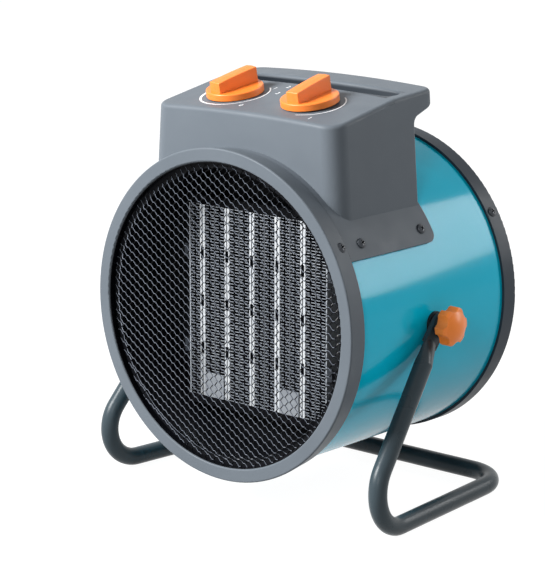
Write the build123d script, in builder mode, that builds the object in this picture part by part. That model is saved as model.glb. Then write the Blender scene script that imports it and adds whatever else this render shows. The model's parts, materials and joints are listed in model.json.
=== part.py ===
"""Round forced air heater: a sheet drum between two moulded rings, a control housing with a
carrying handle on top, and a bent tube stand that the drum tilts in.

Millimetres. X is across the heater, -Y is the outlet side, +Z is up. The floor is Z = 0, and the
origin is the middle of the overall box, seen from above.
"""
from build123d import *
from math import cos, hypot, radians, sin, sqrt, tan
import os

os.makedirs("parts", exist_ok=True)

# ---------------------------------------------------------------- driving dimensions
# drum
overall_depth = 185.7
floor_clearance = 22.8
drum_radius = 109.2
drum_wall = 1.0
flange_inset = 0.2
seat_clearance = 0.05
screw_clearance = 0.1

# front and rear rings
front_ring_wall = 5.8
front_ring_edge_wall = 3.6
front_ring_depth = 16.2
front_opening_inset = 3.9
front_lip = 5.0
rear_ring_wall = 2.0
rear_ring_depth = 13.6
rear_opening_inset = 12.2
rear_lip = 4.0
ring_rounding = 1.2

# front mesh
mesh_thickness = 0.6
mesh_recess = 2.4
mesh_flange = 10.0
mesh_cell_pitch = 12.4
mesh_strand = 1.5
mesh_rim = 3.0

# rear grille
grille_thickness = 1.0
slot_width = 5.0
grille_boss_radius = 24.0
slot_lengths = [20.0, 19.0, 19.0]
slot_counts = [12, 22, 32]
slot_row_gap = 5.0

# inner duct
duct_gap = 8.0
duct_wall = 0.8
duct_rear_gap = 33.7
duct_flange_width = 5.3

# heating element
element_front = 37.5
element_depth = 15.0
element_centre_drop = 2.9
element_height = 136.6
bar_count = 5
bar_width = 4.8
bar_groove_width = 0.9
bar_groove_depth = 1.6
bar_notch_width = 2.9
bar_notch_length = 8.4
stone_rows = 4
fin_width = 8.85
divider_width = 0.45
side_plate_width = 1.0
fin_strip = 1.6
fin_waves = 15
end_cap_height = 6.5
clip_reach = 4.6
clip_height = 9.4
clip_thickness = 0.8
pad_height = 17.0
pad_thickness = 0.7
pad_margin = 0.5
baffle_thickness = 0.8
baffle_rim = 8.0
rivet_angles = [45.0, 135.0, 225.0, 315.0]
rivet_radius = 1.6
rivet_clearance = 0.05
rivet_head = 3.0
rivet_head_height = 1.0
rivet_length = 4.0
bar_tab_length = 9.0
bar_tab_width = 6.3
bar_tab_thickness = 0.8

# fan and motor
fan_hub_radius = 19.0
fan_hub_depth = 20.0
fan_tip_gap = 7.4
fan_to_boss = 5.0
hub_rounding = 4.0
fan_nut_radius = 6.0
fan_nut_thickness = 4.0
shaft_proud = 1.5
blade_count = 5
blade_thickness = 1.6
blade_root_chord = 26.0
blade_tip_chord = 44.0
blade_root_pitch = 42.0
blade_tip_pitch = 24.0
shaft_radius = 3.0
running_clearance = 0.05
motor_radius = 31.0
motor_length = 36.0
motor_rounding = 5.0
motor_boss_radius = 9.0
motor_boss_length = 5.0
bracket_thickness = 2.0
bracket_hub_radius = 24.0
bracket_arm_width = 18.0
bracket_arms = 3
bracket_screw_radius = 1.5
bracket_screw_head = 3.0
bracket_screw_bite = 4.0
motor_screw_radius = 16.0
motor_screw_count = 2
motor_screw_bite = 6.0
cutout_rise = 86.0
cutout_radius = 8.0
cutout_depth = 8.0
cutout_ear = 11.0

# control housing
housing_front = 22.0
slot_back_wall = 2.0
housing_half_width_top = 80.1
housing_half_width_foot = 86.4
housing_foot_drop = 43.2
housing_wall = 2.6
housing_front_corner = 13.0
housing_back_corner = 9.0
loft_margin = 1.2
panel_rise = 27.7
panel_slope = 10.5
panel_depth = 63.0
handle_slope = 4.4
handle_overhang = 22.5
handle_thickness = 21.6
handle_rounding = 6.0
handle_end_rise = 6.6
handle_end_rounding = 3.0
crown_radius = 1300.0
crown_margin = 30.0
top_rounding = 3.0
steep_limit = 0.5
slot_half_length = 72.0
slot_margin = 0.9
slot_breadth = 19.1
slot_floor_drop = 24.0
slot_bow = 5.0
slot_corner = 7.0
slot_rounding = 2.4
hand_gap_left = -36.0
hand_gap_right = 66.0
saddle_thickness = 3.1
saddle_front_gap = 0.6
saddle_edge_angle = 26.2
saddle_corner = 7.0

# controls
knob_spacing = 67.4
knob_from_front = 31.8
knob_radius = 20.0
knob_skirt = 4.6
knob_lift = 0.8
grip_half_width = 5.2
grip_front_height = 7.6
grip_middle_height = 9.7
grip_back_height = 10.2
grip_taper = 3.0
grip_inset = 2.5
grip_rounding = 0.6
knob_rounding = 0.8
thermostat_turn = -8.0
spindle_radius = 3.0
spindle_rise = 9.0
spindle_reach = 10.0
spindle_gap = 0.5
control_body_length = 36.0
control_body_width = 28.0
control_body_depth = 20.0
panel_screw_spacing = 28.0
panel_screw_radius = 2.0
panel_screw_head = 3.6
panel_screw_sink = 2.2
panel_screw_top = 0.6
panel_screw_bite = 6.0
terminal_length = 26.0
terminal_width = 16.0
terminal_height = 12.8
terminal_clearance = 0.2
terminal_ways = 3
terminal_well = 2.4
terminal_well_depth = 4.0
terminal_back = 60.0

# fasteners
screw_radius = 2.0
screw_head_radius = 3.5
screw_head_height = 2.2
screw_head_taper = 25.0
screw_length = 9.0
screw_angles = [31.5, 148.5, 270.0]
saddle_screw_angles = [31.5, 148.5]
ring_screw_depth = 11.1
rear_screw_from_back = 8.1
rear_screw_sink = 0.3
saddle_screw_inset = 10.3
saddle_screw_back_inset = 11.3

# cable gland
gland_radius = 8.0
gland_bore = 4.0
gland_nut_radius = 10.0
gland_nut_thickness = 4.5
gland_dome_length = 14.0
gland_x = -57.0
gland_above_drum = 0.8
gland_clearance = 0.15
gland_stub_radius = 7.0
gland_stub_length = 6.0
gland_cap_radius = 9.0
gland_rounding = 3.0
gland_inner_length = 8.6
gland_seal_wall = 1.4
gland_seal_length = 5.0

# stand
tube_radius = 6.35
foot_front_x = 127.5
foot_front_depth = -12.6
foot_back_x = 110.3
foot_back_inset = 8.5
front_bend_radius = 26.0
back_bend_radius = 30.0
pivot_depth = 94.7
pivot_below_axis = 4.1
paddle_thickness = 3.6
paddle_width = 14.0
paddle_standoff = 4.2
paddle_length = 17.0
paddle_overlap = 4.0
paddle_blend = 14.0

# clamps
stud_radius = 3.0
stud_clearance = 0.08
clamp_gap = 0.3
washer_radius = 8.6
washer_thickness = 3.9
star_radius = 13.4
star_valley = 10.4
star_flute = 6.0
star_lobes = 6
star_turn = 7.0
star_depth = 8.6
star_dome = 3.4
star_tip_rounding = 1.0
star_back_rounding = 0.8
star_rim_rounding = 3.0
star_margin = 0.3
rivet_nut_radius = 4.5
rivet_nut_length = 7.2
rivet_nut_head = 6.5
rivet_nut_head_thickness = 1.0
spacer_radius = 8.2
stud_inset = 6.2
stud_bite = 7.5

# ---------------------------------------------------------------- worked-out places
front_ring_radius = drum_radius + front_ring_wall
front_ring_edge_radius = drum_radius + front_ring_edge_wall
front_opening_radius = drum_radius - front_opening_inset
rear_ring_radius = drum_radius + rear_ring_wall
rear_opening_radius = drum_radius - rear_opening_inset
flange_radius = drum_radius - flange_inset
mesh_fold_radius = flange_radius - mesh_flange
axis_height = front_ring_radius + floor_clearance
front_y = -overall_depth / 2
drum_axis = Axis((0, front_y, axis_height), (0, 1, 0))
# a half section of the drum: first coordinate is depth from the front, second is radius
drum_section = Plane(origin=(0, front_y, axis_height), x_dir=(0, 1, 0), z_dir=(1, 0, 0))
# the view from the front: first coordinate is X, second is height above the drum axis
seat_radius = drum_radius + seat_clearance
drum_front = front_lip + mesh_thickness + duct_wall
grille_front = overall_depth - rear_lip - grille_thickness
drum_back = grille_front
pivot_y = front_y + pivot_depth
pivot_height = axis_height - pivot_below_axis


def front_plane(depth):
    """Plane across the drum axis at a depth from the front, with local Z to the rear."""
    return Plane(origin=(0, front_y + depth, axis_height), x_dir=(-1, 0, 0), z_dir=(0, 1, 0))


def radial_plane(angle, depth, radius):
    """Plane touching the drum at an angle from +X, facing outwards."""
    turn = radians(angle)
    outward = (cos(turn), 0, sin(turn))
    origin = (radius * cos(turn), front_y + depth, axis_height + radius * sin(turn))
    return Plane(origin=origin, x_dir=(0, 1, 0), z_dir=outward)


def finish(piece, name):
    """Name a finished piece and write it to its own file."""
    piece.part.label = name
    export_step(piece.part, f"parts/{name}.step")


# ---------------------------------------------------------------- rings and drum
rear_screw_depth = overall_depth - rear_screw_from_back
front_screw_planes = [
    radial_plane(angle, ring_screw_depth, front_ring_edge_radius) for angle in screw_angles
]
rear_screw_planes = [
    radial_plane(angle, rear_screw_depth, rear_ring_radius - rear_screw_sink)
    for angle in screw_angles
]
saddle_radius = drum_radius + seat_clearance + saddle_thickness
housing_back = housing_front + panel_depth + slot_margin + slot_breadth + slot_back_wall
handle_back = housing_back + handle_overhang
saddle_screw_front = housing_front + saddle_screw_inset
saddle_screw_back = housing_back - saddle_screw_back_inset
saddle_screw_planes = [
    radial_plane(angle, depth, saddle_radius - screw_clearance)
    for angle in saddle_screw_angles
    for depth in (saddle_screw_front, saddle_screw_back)
]
pivot_sides = (-1, 1)


def pivot_plane(side, x):
    """Plane across the pivot line at a distance from the middle, facing outwards."""
    return Plane(origin=(side * x, pivot_y, pivot_height), x_dir=(0, 1, 0), z_dir=(side, 0, 0))


with BuildPart() as drum_shell:
    with BuildSketch(drum_section):
        with BuildLine():
            Polyline(
                (drum_front, drum_radius - drum_wall),
                (drum_front, drum_radius),
                (drum_back, drum_radius),
                (drum_back, drum_radius - drum_wall),
                close=True,
            )
        make_face()
    revolve(axis=drum_axis)
    with Locations(*front_screw_planes, *rear_screw_planes, *saddle_screw_planes):
        Hole(screw_radius + screw_clearance, screw_length)
    with Locations(*[pivot_plane(side, drum_radius + drum_wall) for side in pivot_sides]):
        Hole(rivet_nut_radius + screw_clearance, rivet_nut_length)
finish(drum_shell, "drum_shell")

with BuildPart() as front_ring:
    with BuildSketch(drum_section):
        with BuildLine():
            Polyline(
                (0, front_opening_radius),
                (0, front_ring_radius),
                (front_ring_depth, front_ring_edge_radius),
                (front_ring_depth, seat_radius),
                (front_lip, seat_radius),
                (front_lip, front_opening_radius),
                close=True,
            )
        make_face()
    revolve(axis=drum_axis)
    front_rims = front_ring.edges().group_by(Axis.Y)[0]
    fillet(front_rims, ring_rounding)
    with BuildSketch(*front_screw_planes):
        Circle(screw_head_radius + screw_clearance)
    extrude(amount=screw_head_height, mode=Mode.SUBTRACT)
    with Locations(*front_screw_planes):
        Hole(screw_radius + screw_clearance, screw_length)
finish(front_ring, "front_ring")

with BuildPart() as rear_ring:
    with BuildSketch(drum_section):
        with BuildLine():
            Polyline(
                (overall_depth, rear_opening_radius),
                (overall_depth, rear_ring_radius),
                (overall_depth - rear_ring_depth, rear_ring_radius),
                (overall_depth - rear_ring_depth, seat_radius),
                (overall_depth - rear_lip, seat_radius),
                (overall_depth - rear_lip, rear_opening_radius),
                close=True,
            )
        make_face()
    revolve(axis=drum_axis)
    rear_rims = rear_ring.edges().group_by(Axis.Y)[-1]
    fillet(rear_rims, ring_rounding)
    with BuildSketch(*rear_screw_planes):
        Circle(screw_head_radius + screw_clearance)
    extrude(amount=screw_head_height, mode=Mode.SUBTRACT)
    with Locations(*rear_screw_planes):
        Hole(screw_radius + screw_clearance, screw_length)
finish(rear_ring, "rear_ring")


# ---------------------------------------------------------------- grilles
def mesh_cells(limit):
    """Middles of a honeycomb of cells that lie inside a circle."""
    row_step = mesh_cell_pitch * sqrt(3) / 2
    rows = int(limit / row_step)
    columns = int(limit / mesh_cell_pitch) + 1
    cells = []
    for row in range(-rows, rows + 1):
        for column in range(-columns, columns + 1):
            across = (column + (row % 2) / 2) * mesh_cell_pitch
            up = row * row_step
            if hypot(across, up) < limit:
                cells.append((up, across))
    return cells


cell_radius = (mesh_cell_pitch - mesh_strand) / sqrt(3)
with BuildPart() as front_mesh:
    with BuildSketch(drum_section):
        with BuildLine():
            Polyline(
                (mesh_recess, 0),
                (mesh_recess, mesh_fold_radius),
                (front_lip, mesh_fold_radius),
                (front_lip, flange_radius),
                (front_lip + mesh_thickness, flange_radius),
                (front_lip + mesh_thickness, mesh_fold_radius - mesh_thickness),
                (mesh_recess + mesh_thickness, mesh_fold_radius - mesh_thickness),
                (mesh_recess + mesh_thickness, 0),
                close=True,
            )
        make_face()
    revolve(axis=drum_axis)
    with BuildSketch(front_plane(mesh_recess)):
        with Locations(*mesh_cells(mesh_fold_radius - mesh_rim - cell_radius)):
            RegularPolygon(cell_radius, 6)
    extrude(amount=mesh_thickness, mode=Mode.SUBTRACT)
finish(front_mesh, "front_mesh")

with BuildPart() as rear_grille:
    with BuildSketch(front_plane(grille_front)):
        Circle(flange_radius)
        row_inner = grille_boss_radius
        for slot_length, slot_count in zip(slot_lengths, slot_counts):
            with PolarLocations(row_inner + slot_length / 2, slot_count):
                Rectangle(slot_length, slot_width, mode=Mode.SUBTRACT)
            row_inner += slot_length + slot_row_gap
    extrude(amount=grille_thickness)
finish(rear_grille, "rear_grille")

# ---------------------------------------------------------------- duct, baffle and element
duct_front = front_lip + mesh_thickness
duct_rear_depth = overall_depth - duct_rear_gap
duct_radius = drum_radius - duct_gap
duct_flange_radius = duct_radius + duct_flange_width
bracket_screw_circle = (duct_radius + duct_flange_radius) / 2
baffle_depth = element_front + element_depth
rivet_planes = [
    radial_plane(angle, baffle_depth + baffle_rim / 2, duct_radius) for angle in rivet_angles
]
with BuildPart() as inner_duct:
    with BuildSketch(drum_section):
        with BuildLine():
            Polyline(
                (duct_front, duct_radius - duct_wall),
                (duct_front, flange_radius),
                (duct_front + duct_wall, flange_radius),
                (duct_front + duct_wall, duct_radius),
                (duct_rear_depth - duct_wall, duct_radius),
                (duct_rear_depth - duct_wall, duct_flange_radius),
                (duct_rear_depth, duct_flange_radius),
                (duct_rear_depth, duct_radius - duct_wall),
                close=True,
            )
        make_face()
    revolve(axis=drum_axis)
    with BuildSketch(front_plane(duct_rear_depth)):
        with PolarLocations(bracket_screw_circle, bracket_arms, start_angle=90):
            Circle(bracket_screw_radius + screw_clearance)
    extrude(amount=-duct_wall, mode=Mode.SUBTRACT)
    with Locations(*rivet_planes):
        Hole(rivet_radius + rivet_clearance, rivet_length)
finish(inner_duct, "inner_duct")

unit_pitch = bar_width + 2 * fin_width + divider_width
column_count = 2 * bar_count + 1
element_width = (
    2 * side_plate_width
    + column_count * fin_width
    + bar_count * bar_width
    + bar_count * divider_width
)
element_left = -element_width / 2
element_middle = -element_centre_drop
element_top = element_middle + element_height / 2
element_foot = element_middle - element_height / 2
bar_lefts = [
    element_left + side_plate_width + fin_width + number * unit_pitch for number in range(bar_count)
]
divider_lefts = [left + bar_width + fin_width for left in bar_lefts]
fin_lefts = [element_left + side_plate_width]
for left in bar_lefts:
    fin_lefts.append(left + bar_width)
    fin_lefts.append(left + bar_width + fin_width + divider_width)
# the element is drawn on a plane that looks at it from the front, X to the right
element_plane = Plane(
    origin=(0, front_y + element_front, axis_height), x_dir=(1, 0, 0), z_dir=(0, -1, 0)
)


def upright(left, width, foot, top):
    """Rectangle on the open sketch, given by its left edge, width, foot and top."""
    with Locations(((left + width / 2), (foot + top) / 2)):
        Rectangle(width, top - foot)


stone_height = element_height / stone_rows
with BuildPart() as ptc_bars:
    with BuildSketch(element_plane):
        for left in bar_lefts:
            upright(left, bar_width, element_foot, element_top)
    extrude(amount=-element_depth)
    with BuildSketch(element_plane):
        for left in bar_lefts:
            bar_middle = left + bar_width / 2
            upright(
                bar_middle - bar_groove_width / 2, bar_groove_width, element_foot, element_top
            )
            for row in range(1, stone_rows):
                with Locations((bar_middle, element_foot + row * stone_height)):
                    Rectangle(bar_notch_width, bar_notch_length)
    extrude(amount=-bar_groove_depth, mode=Mode.SUBTRACT)
finish(ptc_bars, "ptc_bars")

wave_step = element_height / fin_waves
with BuildPart() as ptc_fins:
    with BuildSketch(element_plane):
        for left in fin_lefts:
            near = []
            for wave in range(fin_waves):
                height = element_foot + wave * wave_step
                near.append((left, height))
                near.append((left + fin_width - fin_strip, height + wave_step / 2))
            near.append((left, element_top))
            far = [(across + fin_strip, height) for across, height in reversed(near)]
            with BuildLine():
                Polyline(*near, *far, close=True)
            make_face()
    extrude(amount=-element_depth)
finish(ptc_fins, "ptc_fins")

with BuildPart() as element_dividers:
    with BuildSketch(element_plane):
        for left in divider_lefts:
            upright(left, divider_width, element_foot, element_top)
    extrude(amount=-element_depth)
finish(element_dividers, "element_dividers")

with BuildPart() as element_side_plates:
    with BuildSketch(element_plane):
        upright(element_left, side_plate_width, element_foot, element_top)
        upright(-element_left - side_plate_width, side_plate_width, element_foot, element_top)
    extrude(amount=-element_depth)
    with BuildSketch(element_plane):
        for row in (1, stone_rows - 1):
            clip_foot = element_foot + row * stone_height - clip_height / 2
            clip_top = clip_foot + clip_height
            upright(element_left - clip_reach, clip_reach, clip_foot, clip_top)
            upright(-element_left, clip_reach, clip_foot, clip_top)
    extrude(amount=-clip_thickness)
finish(element_side_plates, "element_side_plates")

# the pads lie on the fronts of the fins, each across the two columns between two bars
pad_width = 2 * fin_width + divider_width - 2 * pad_margin
with BuildPart() as element_pads:
    with BuildSketch(element_plane):
        for number in (0, bar_count - 2):
            pad_left = bar_lefts[number] + bar_width + pad_margin
            upright(pad_left, pad_width, element_foot, element_foot + pad_height)
    extrude(amount=pad_thickness)
finish(element_pads, "element_pads")

with BuildPart() as element_end_caps:
    with BuildSketch(element_plane):
        upright(element_left, element_width, element_top, element_top + end_cap_height)
        upright(element_left, element_width, element_foot - end_cap_height, element_foot)
    extrude(amount=-element_depth)
finish(element_end_caps, "element_end_caps")

window_height = element_height + end_cap_height
with BuildPart() as element_baffle:
    with BuildSketch(front_plane(baffle_depth)):
        Circle(duct_radius - duct_wall - seat_clearance)
        with Locations((0, element_middle)):
            Rectangle(element_width - 2 * side_plate_width, window_height, mode=Mode.SUBTRACT)
    extrude(amount=baffle_thickness)
    with BuildSketch(front_plane(baffle_depth)):
        Circle(duct_radius - duct_wall - seat_clearance)
        Circle(duct_radius - duct_wall - seat_clearance - baffle_thickness, mode=Mode.SUBTRACT)
    extrude(amount=baffle_rim)
    with Locations(*rivet_planes):
        Hole(rivet_radius + rivet_clearance, rivet_length)
finish(element_baffle, "element_baffle")

# ---------------------------------------------------------------- fan and motor
bracket_front = duct_rear_depth
motor_front = bracket_front - motor_length
fan_front = motor_front - motor_boss_length - fan_to_boss - fan_hub_depth
fan_tip_radius = duct_radius - duct_wall - fan_tip_gap


def blade_section(radius, chord, pitch):
    """Closed blade outline on a plane across the blade's length, at a radius."""
    plane = Plane(
        origin=(0, front_y + fan_front + fan_hub_depth / 2, axis_height + radius),
        x_dir=(cos(radians(pitch)), sin(radians(pitch)), 0),
        z_dir=(0, 0, 1),
    )
    with BuildSketch(plane) as outline:
        with BuildLine():
            lower = ThreePointArc(
                (-chord / 2, -blade_thickness / 2),
                (0, chord / 12 - blade_thickness / 2),
                (chord / 2, -blade_thickness / 2),
            )
            Line(lower @ 1, (chord / 2, blade_thickness / 2))
            upper = ThreePointArc(
                (chord / 2, blade_thickness / 2),
                (0, chord / 12 + blade_thickness / 2),
                (-chord / 2, blade_thickness / 2),
            )
            Line(upper @ 1, lower @ 0)
        make_face()
    return outline.sketch


blade_root = blade_section(fan_hub_radius - blade_thickness, blade_root_chord, blade_root_pitch)
blade_tip = blade_section(fan_tip_radius, blade_tip_chord, blade_tip_pitch)
with BuildPart() as blade:
    loft([blade_root, blade_tip])

with BuildPart() as fan_impeller:
    with BuildSketch(front_plane(fan_front)):
        Circle(fan_hub_radius)
    extrude(amount=fan_hub_depth)
    fillet(fan_impeller.edges().group_by(Axis.Y)[0], hub_rounding)
    for number in range(blade_count):
        add(blade.part.rotate(drum_axis, number * 360 / blade_count))
    with BuildSketch(front_plane(fan_front)):
        Circle(shaft_radius + running_clearance)
    extrude(amount=fan_hub_depth, mode=Mode.SUBTRACT)
finish(fan_impeller, "fan_impeller")

with BuildPart() as fan_nut:
    with BuildSketch(front_plane(fan_front)):
        RegularPolygon(fan_nut_radius, 6)
        Circle(shaft_radius + running_clearance, mode=Mode.SUBTRACT)
    extrude(amount=-fan_nut_thickness)
finish(fan_nut, "fan_nut")

shaft_front = fan_front - fan_nut_thickness - shaft_proud
with BuildPart() as motor_shaft:
    with BuildSketch(front_plane(shaft_front)):
        Circle(shaft_radius)
    extrude(amount=bracket_front - shaft_front - bracket_thickness)
finish(motor_shaft, "motor_shaft")

with BuildPart() as motor_body:
    with BuildSketch(front_plane(motor_front)):
        Circle(motor_radius)
    extrude(amount=motor_length)
    fillet(motor_body.edges().group_by(Axis.Y)[0], motor_rounding)
    with BuildSketch(front_plane(motor_front)):
        Circle(motor_boss_radius)
    extrude(amount=-motor_boss_length)
    with BuildSketch(front_plane(motor_front - motor_boss_length)):
        Circle(shaft_radius + running_clearance)
    extrude(amount=motor_length + motor_boss_length - bracket_thickness / 2, mode=Mode.SUBTRACT)
    with BuildSketch(front_plane(bracket_front)):
        with PolarLocations(motor_screw_radius, motor_screw_count):
            Circle(bracket_screw_radius + screw_clearance)
    extrude(amount=-motor_screw_bite, mode=Mode.SUBTRACT)
finish(motor_body, "motor_body")

with BuildPart() as motor_bracket:
    with BuildSketch(front_plane(bracket_front)):
        Circle(bracket_hub_radius)
        with PolarLocations(duct_flange_radius / 2, bracket_arms, start_angle=90):
            Rectangle(duct_flange_radius, bracket_arm_width)
        Circle(duct_flange_radius, mode=Mode.INTERSECT)
        with PolarLocations(bracket_screw_circle, bracket_arms, start_angle=90):
            Circle(bracket_screw_radius + screw_clearance, mode=Mode.SUBTRACT)
        with PolarLocations(motor_screw_radius, motor_screw_count):
            Circle(bracket_screw_radius + screw_clearance, mode=Mode.SUBTRACT)
    extrude(amount=bracket_thickness)
finish(motor_bracket, "motor_bracket")


def small_screws(name, circle, count, start, bite):
    """Round-headed screws behind the bracket, on a circle round the drum axis."""
    with BuildPart() as screws:
        with BuildSketch(front_plane(bracket_front + bracket_thickness)):
            with PolarLocations(circle, count, start_angle=start):
                Circle(bracket_screw_radius)
        extrude(amount=-bracket_thickness - bite)
        with BuildSketch(front_plane(bracket_front + bracket_thickness)):
            with PolarLocations(circle, count, start_angle=start):
                Circle(bracket_screw_head)
        extrude(amount=bracket_screw_radius)
    finish(screws, name)


small_screws("motor_screws", motor_screw_radius, motor_screw_count, 0, motor_screw_bite)
small_screws("bracket_screws", bracket_screw_circle, bracket_arms, 90, bracket_screw_bite)

cutout_plane = Plane(
    origin=(0, front_y + baffle_depth + baffle_thickness, axis_height + cutout_rise),
    x_dir=(-1, 0, 0),
    z_dir=(0, 1, 0),
)
with BuildPart() as thermal_cutout:
    with BuildSketch(cutout_plane):
        Circle(cutout_radius)
    extrude(amount=cutout_depth)
    with BuildSketch(cutout_plane):
        Rectangle(2 * cutout_ear, cutout_radius)
    extrude(amount=baffle_thickness)
    with BuildSketch(cutout_plane.offset(cutout_depth)):
        with GridLocations(cutout_radius, 1, 2, 1):
            Rectangle(bar_tab_thickness, bar_tab_width)
    extrude(amount=bar_tab_length)
finish(thermal_cutout, "thermal_cutout")

# ---------------------------------------------------------------- control housing
def along_slope(slope, depth, height):
    """Plane across the housing's top, looking forward down a slope that rises to the rear."""
    turn = radians(slope)
    return Plane(
        origin=(0, front_y + depth, axis_height + height),
        x_dir=(1, 0, 0),
        z_dir=(0, -cos(turn), -sin(turn)),
    )


def housing_plan(height, half_width, inset, back):
    """Rounded plan of the housing at a height above the drum axis."""
    front = front_y + housing_front + inset
    rear = front_y + back - inset
    with BuildSketch(Plane.XY.offset(axis_height + height)) as plan:
        with Locations((0, (front + rear) / 2)):
            Rectangle(2 * (half_width - inset), rear - front)
        fillet(plan.vertices().group_by(Axis.Y)[0], housing_front_corner - inset)
        fillet(plan.vertices().group_by(Axis.Y)[-1], housing_back_corner - inset)
    return plan.sketch


def above_crown(slope, depth, height):
    """Section of what stands above a crowned surface that rises to the rear."""
    with BuildSketch(along_slope(slope, depth, height)) as above:
        with Locations((0, crown_margin)):
            Rectangle(4 * housing_half_width_foot, 3 * crown_margin)
        with Locations((0, -crown_radius)):
            Circle(crown_radius, mode=Mode.SUBTRACT)
    return above.sketch


panel_front_height = drum_radius + panel_rise
housing_foot_height = drum_radius - housing_foot_drop
panel_back = housing_front + panel_depth
panel_back_height = panel_front_height + panel_depth * tan(radians(panel_slope))
handle_top = panel_back_height + (handle_back - panel_back) * tan(radians(handle_slope))
handle_foot = handle_top - handle_thickness
housing_top_height = handle_top + loft_margin
slot_front = panel_back + slot_margin
slot_back = slot_front + slot_breadth
slot_floor = panel_back_height - slot_floor_drop
crown_sag = housing_half_width_top**2 / (2 * crown_radius)
saddle_front = front_ring_depth + saddle_front_gap
housing_side = Plane(origin=(0, front_y, axis_height), x_dir=(0, 1, 0), z_dir=(1, 0, 0))


def slot_outline(grow):
    """Hand slot seen from above, bowed at the front, larger all round by grow."""
    front = front_y + slot_front - grow
    rear = front_y + slot_back + grow
    half = slot_half_length + grow
    with BuildSketch(Plane.XY.offset(axis_height + housing_top_height)) as outline:
        with BuildLine():
            bow = ThreePointArc((-half, front + slot_bow), (0, front), (half, front + slot_bow))
            Polyline(bow @ 1, (half, rear), (-half, rear), bow @ 0)
        make_face()
        fillet(outline.vertices(), slot_corner + grow)
    return outline.sketch


with BuildPart() as saddle:
    with BuildSketch(front_plane(saddle_front)):
        Circle(saddle_radius)
        Circle(seat_radius, mode=Mode.SUBTRACT)
        with BuildLine():
            reach = 2 * saddle_radius
            edge_x = reach * cos(radians(saddle_edge_angle))
            edge_z = reach * sin(radians(saddle_edge_angle))
            Polyline(
                (0, 0), (edge_x, edge_z), (reach, -reach), (-reach, -reach), (-edge_x, edge_z),
                close=True,
            )
        make_face(mode=Mode.SUBTRACT)
    extrude(amount=housing_back - saddle_front)
    saddle_corners = saddle.edges().group_by(Axis.Y)[-1].sort_by(Axis.Z)[:2]
    fillet(saddle_corners, saddle_corner)

# the space for the controls, under a flat ceiling
space_top = housing_plan(housing_top_height, housing_half_width_top, housing_wall, housing_back)
space_foot = housing_plan(housing_foot_height, housing_half_width_foot, housing_wall, housing_back)
with BuildPart() as control_space:
    loft([space_foot, space_top], ruled=True)
    with BuildSketch(along_slope(panel_slope, housing_front, panel_front_height)):
        with Locations((0, crown_margin - housing_wall - crown_sag)):
            Rectangle(4 * housing_half_width_foot, 2 * crown_margin)
    extrude(amount=overall_depth, both=True, mode=Mode.SUBTRACT)
    pocket_depth = housing_top_height - slot_floor
    extrude(slot_outline(housing_wall), amount=-pocket_depth - housing_wall, mode=Mode.SUBTRACT)
    with BuildSketch(Plane.XY.offset(axis_height + handle_foot)):
        gap_middle = (hand_gap_left + hand_gap_right) / 2
        gap_length = hand_gap_right - hand_gap_left
        with Locations((gap_middle, front_y + (panel_back + housing_back) / 2)):
            Rectangle(
                gap_length + 2 * housing_wall,
                housing_back - panel_back + 2 * housing_wall,
            )
    extrude(amount=-handle_foot, mode=Mode.SUBTRACT)

panel_normal = (0, -sin(radians(panel_slope)), cos(radians(panel_slope)))
knob_crown_drop = (knob_spacing / 2) ** 2 / (2 * crown_radius)


def panel_plane(side, lift, turn=0.0):
    """Plane on the panel round a knob, with local Z along the normal and X turned about it."""
    up_slope = (0, cos(radians(panel_slope)), sin(radians(panel_slope)))
    across = cos(radians(turn))
    along = sin(radians(turn))
    x_dir = (across, along * up_slope[1], along * up_slope[2])
    origin = (
        side * knob_spacing / 2,
        front_y + housing_front + knob_from_front,
        axis_height + panel_front_height + knob_from_front * tan(radians(panel_slope)),
    )
    return Plane(origin=origin, x_dir=x_dir, z_dir=panel_normal).offset(lift - knob_crown_drop)


ceiling_drop = housing_wall + crown_sag - knob_crown_drop
gland_plane = Plane(
    origin=(gland_x, front_y + housing_back, axis_height + drum_radius + gland_above_drum),
    x_dir=(-1, 0, 0),
    z_dir=(0, 1, 0),
)

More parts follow.
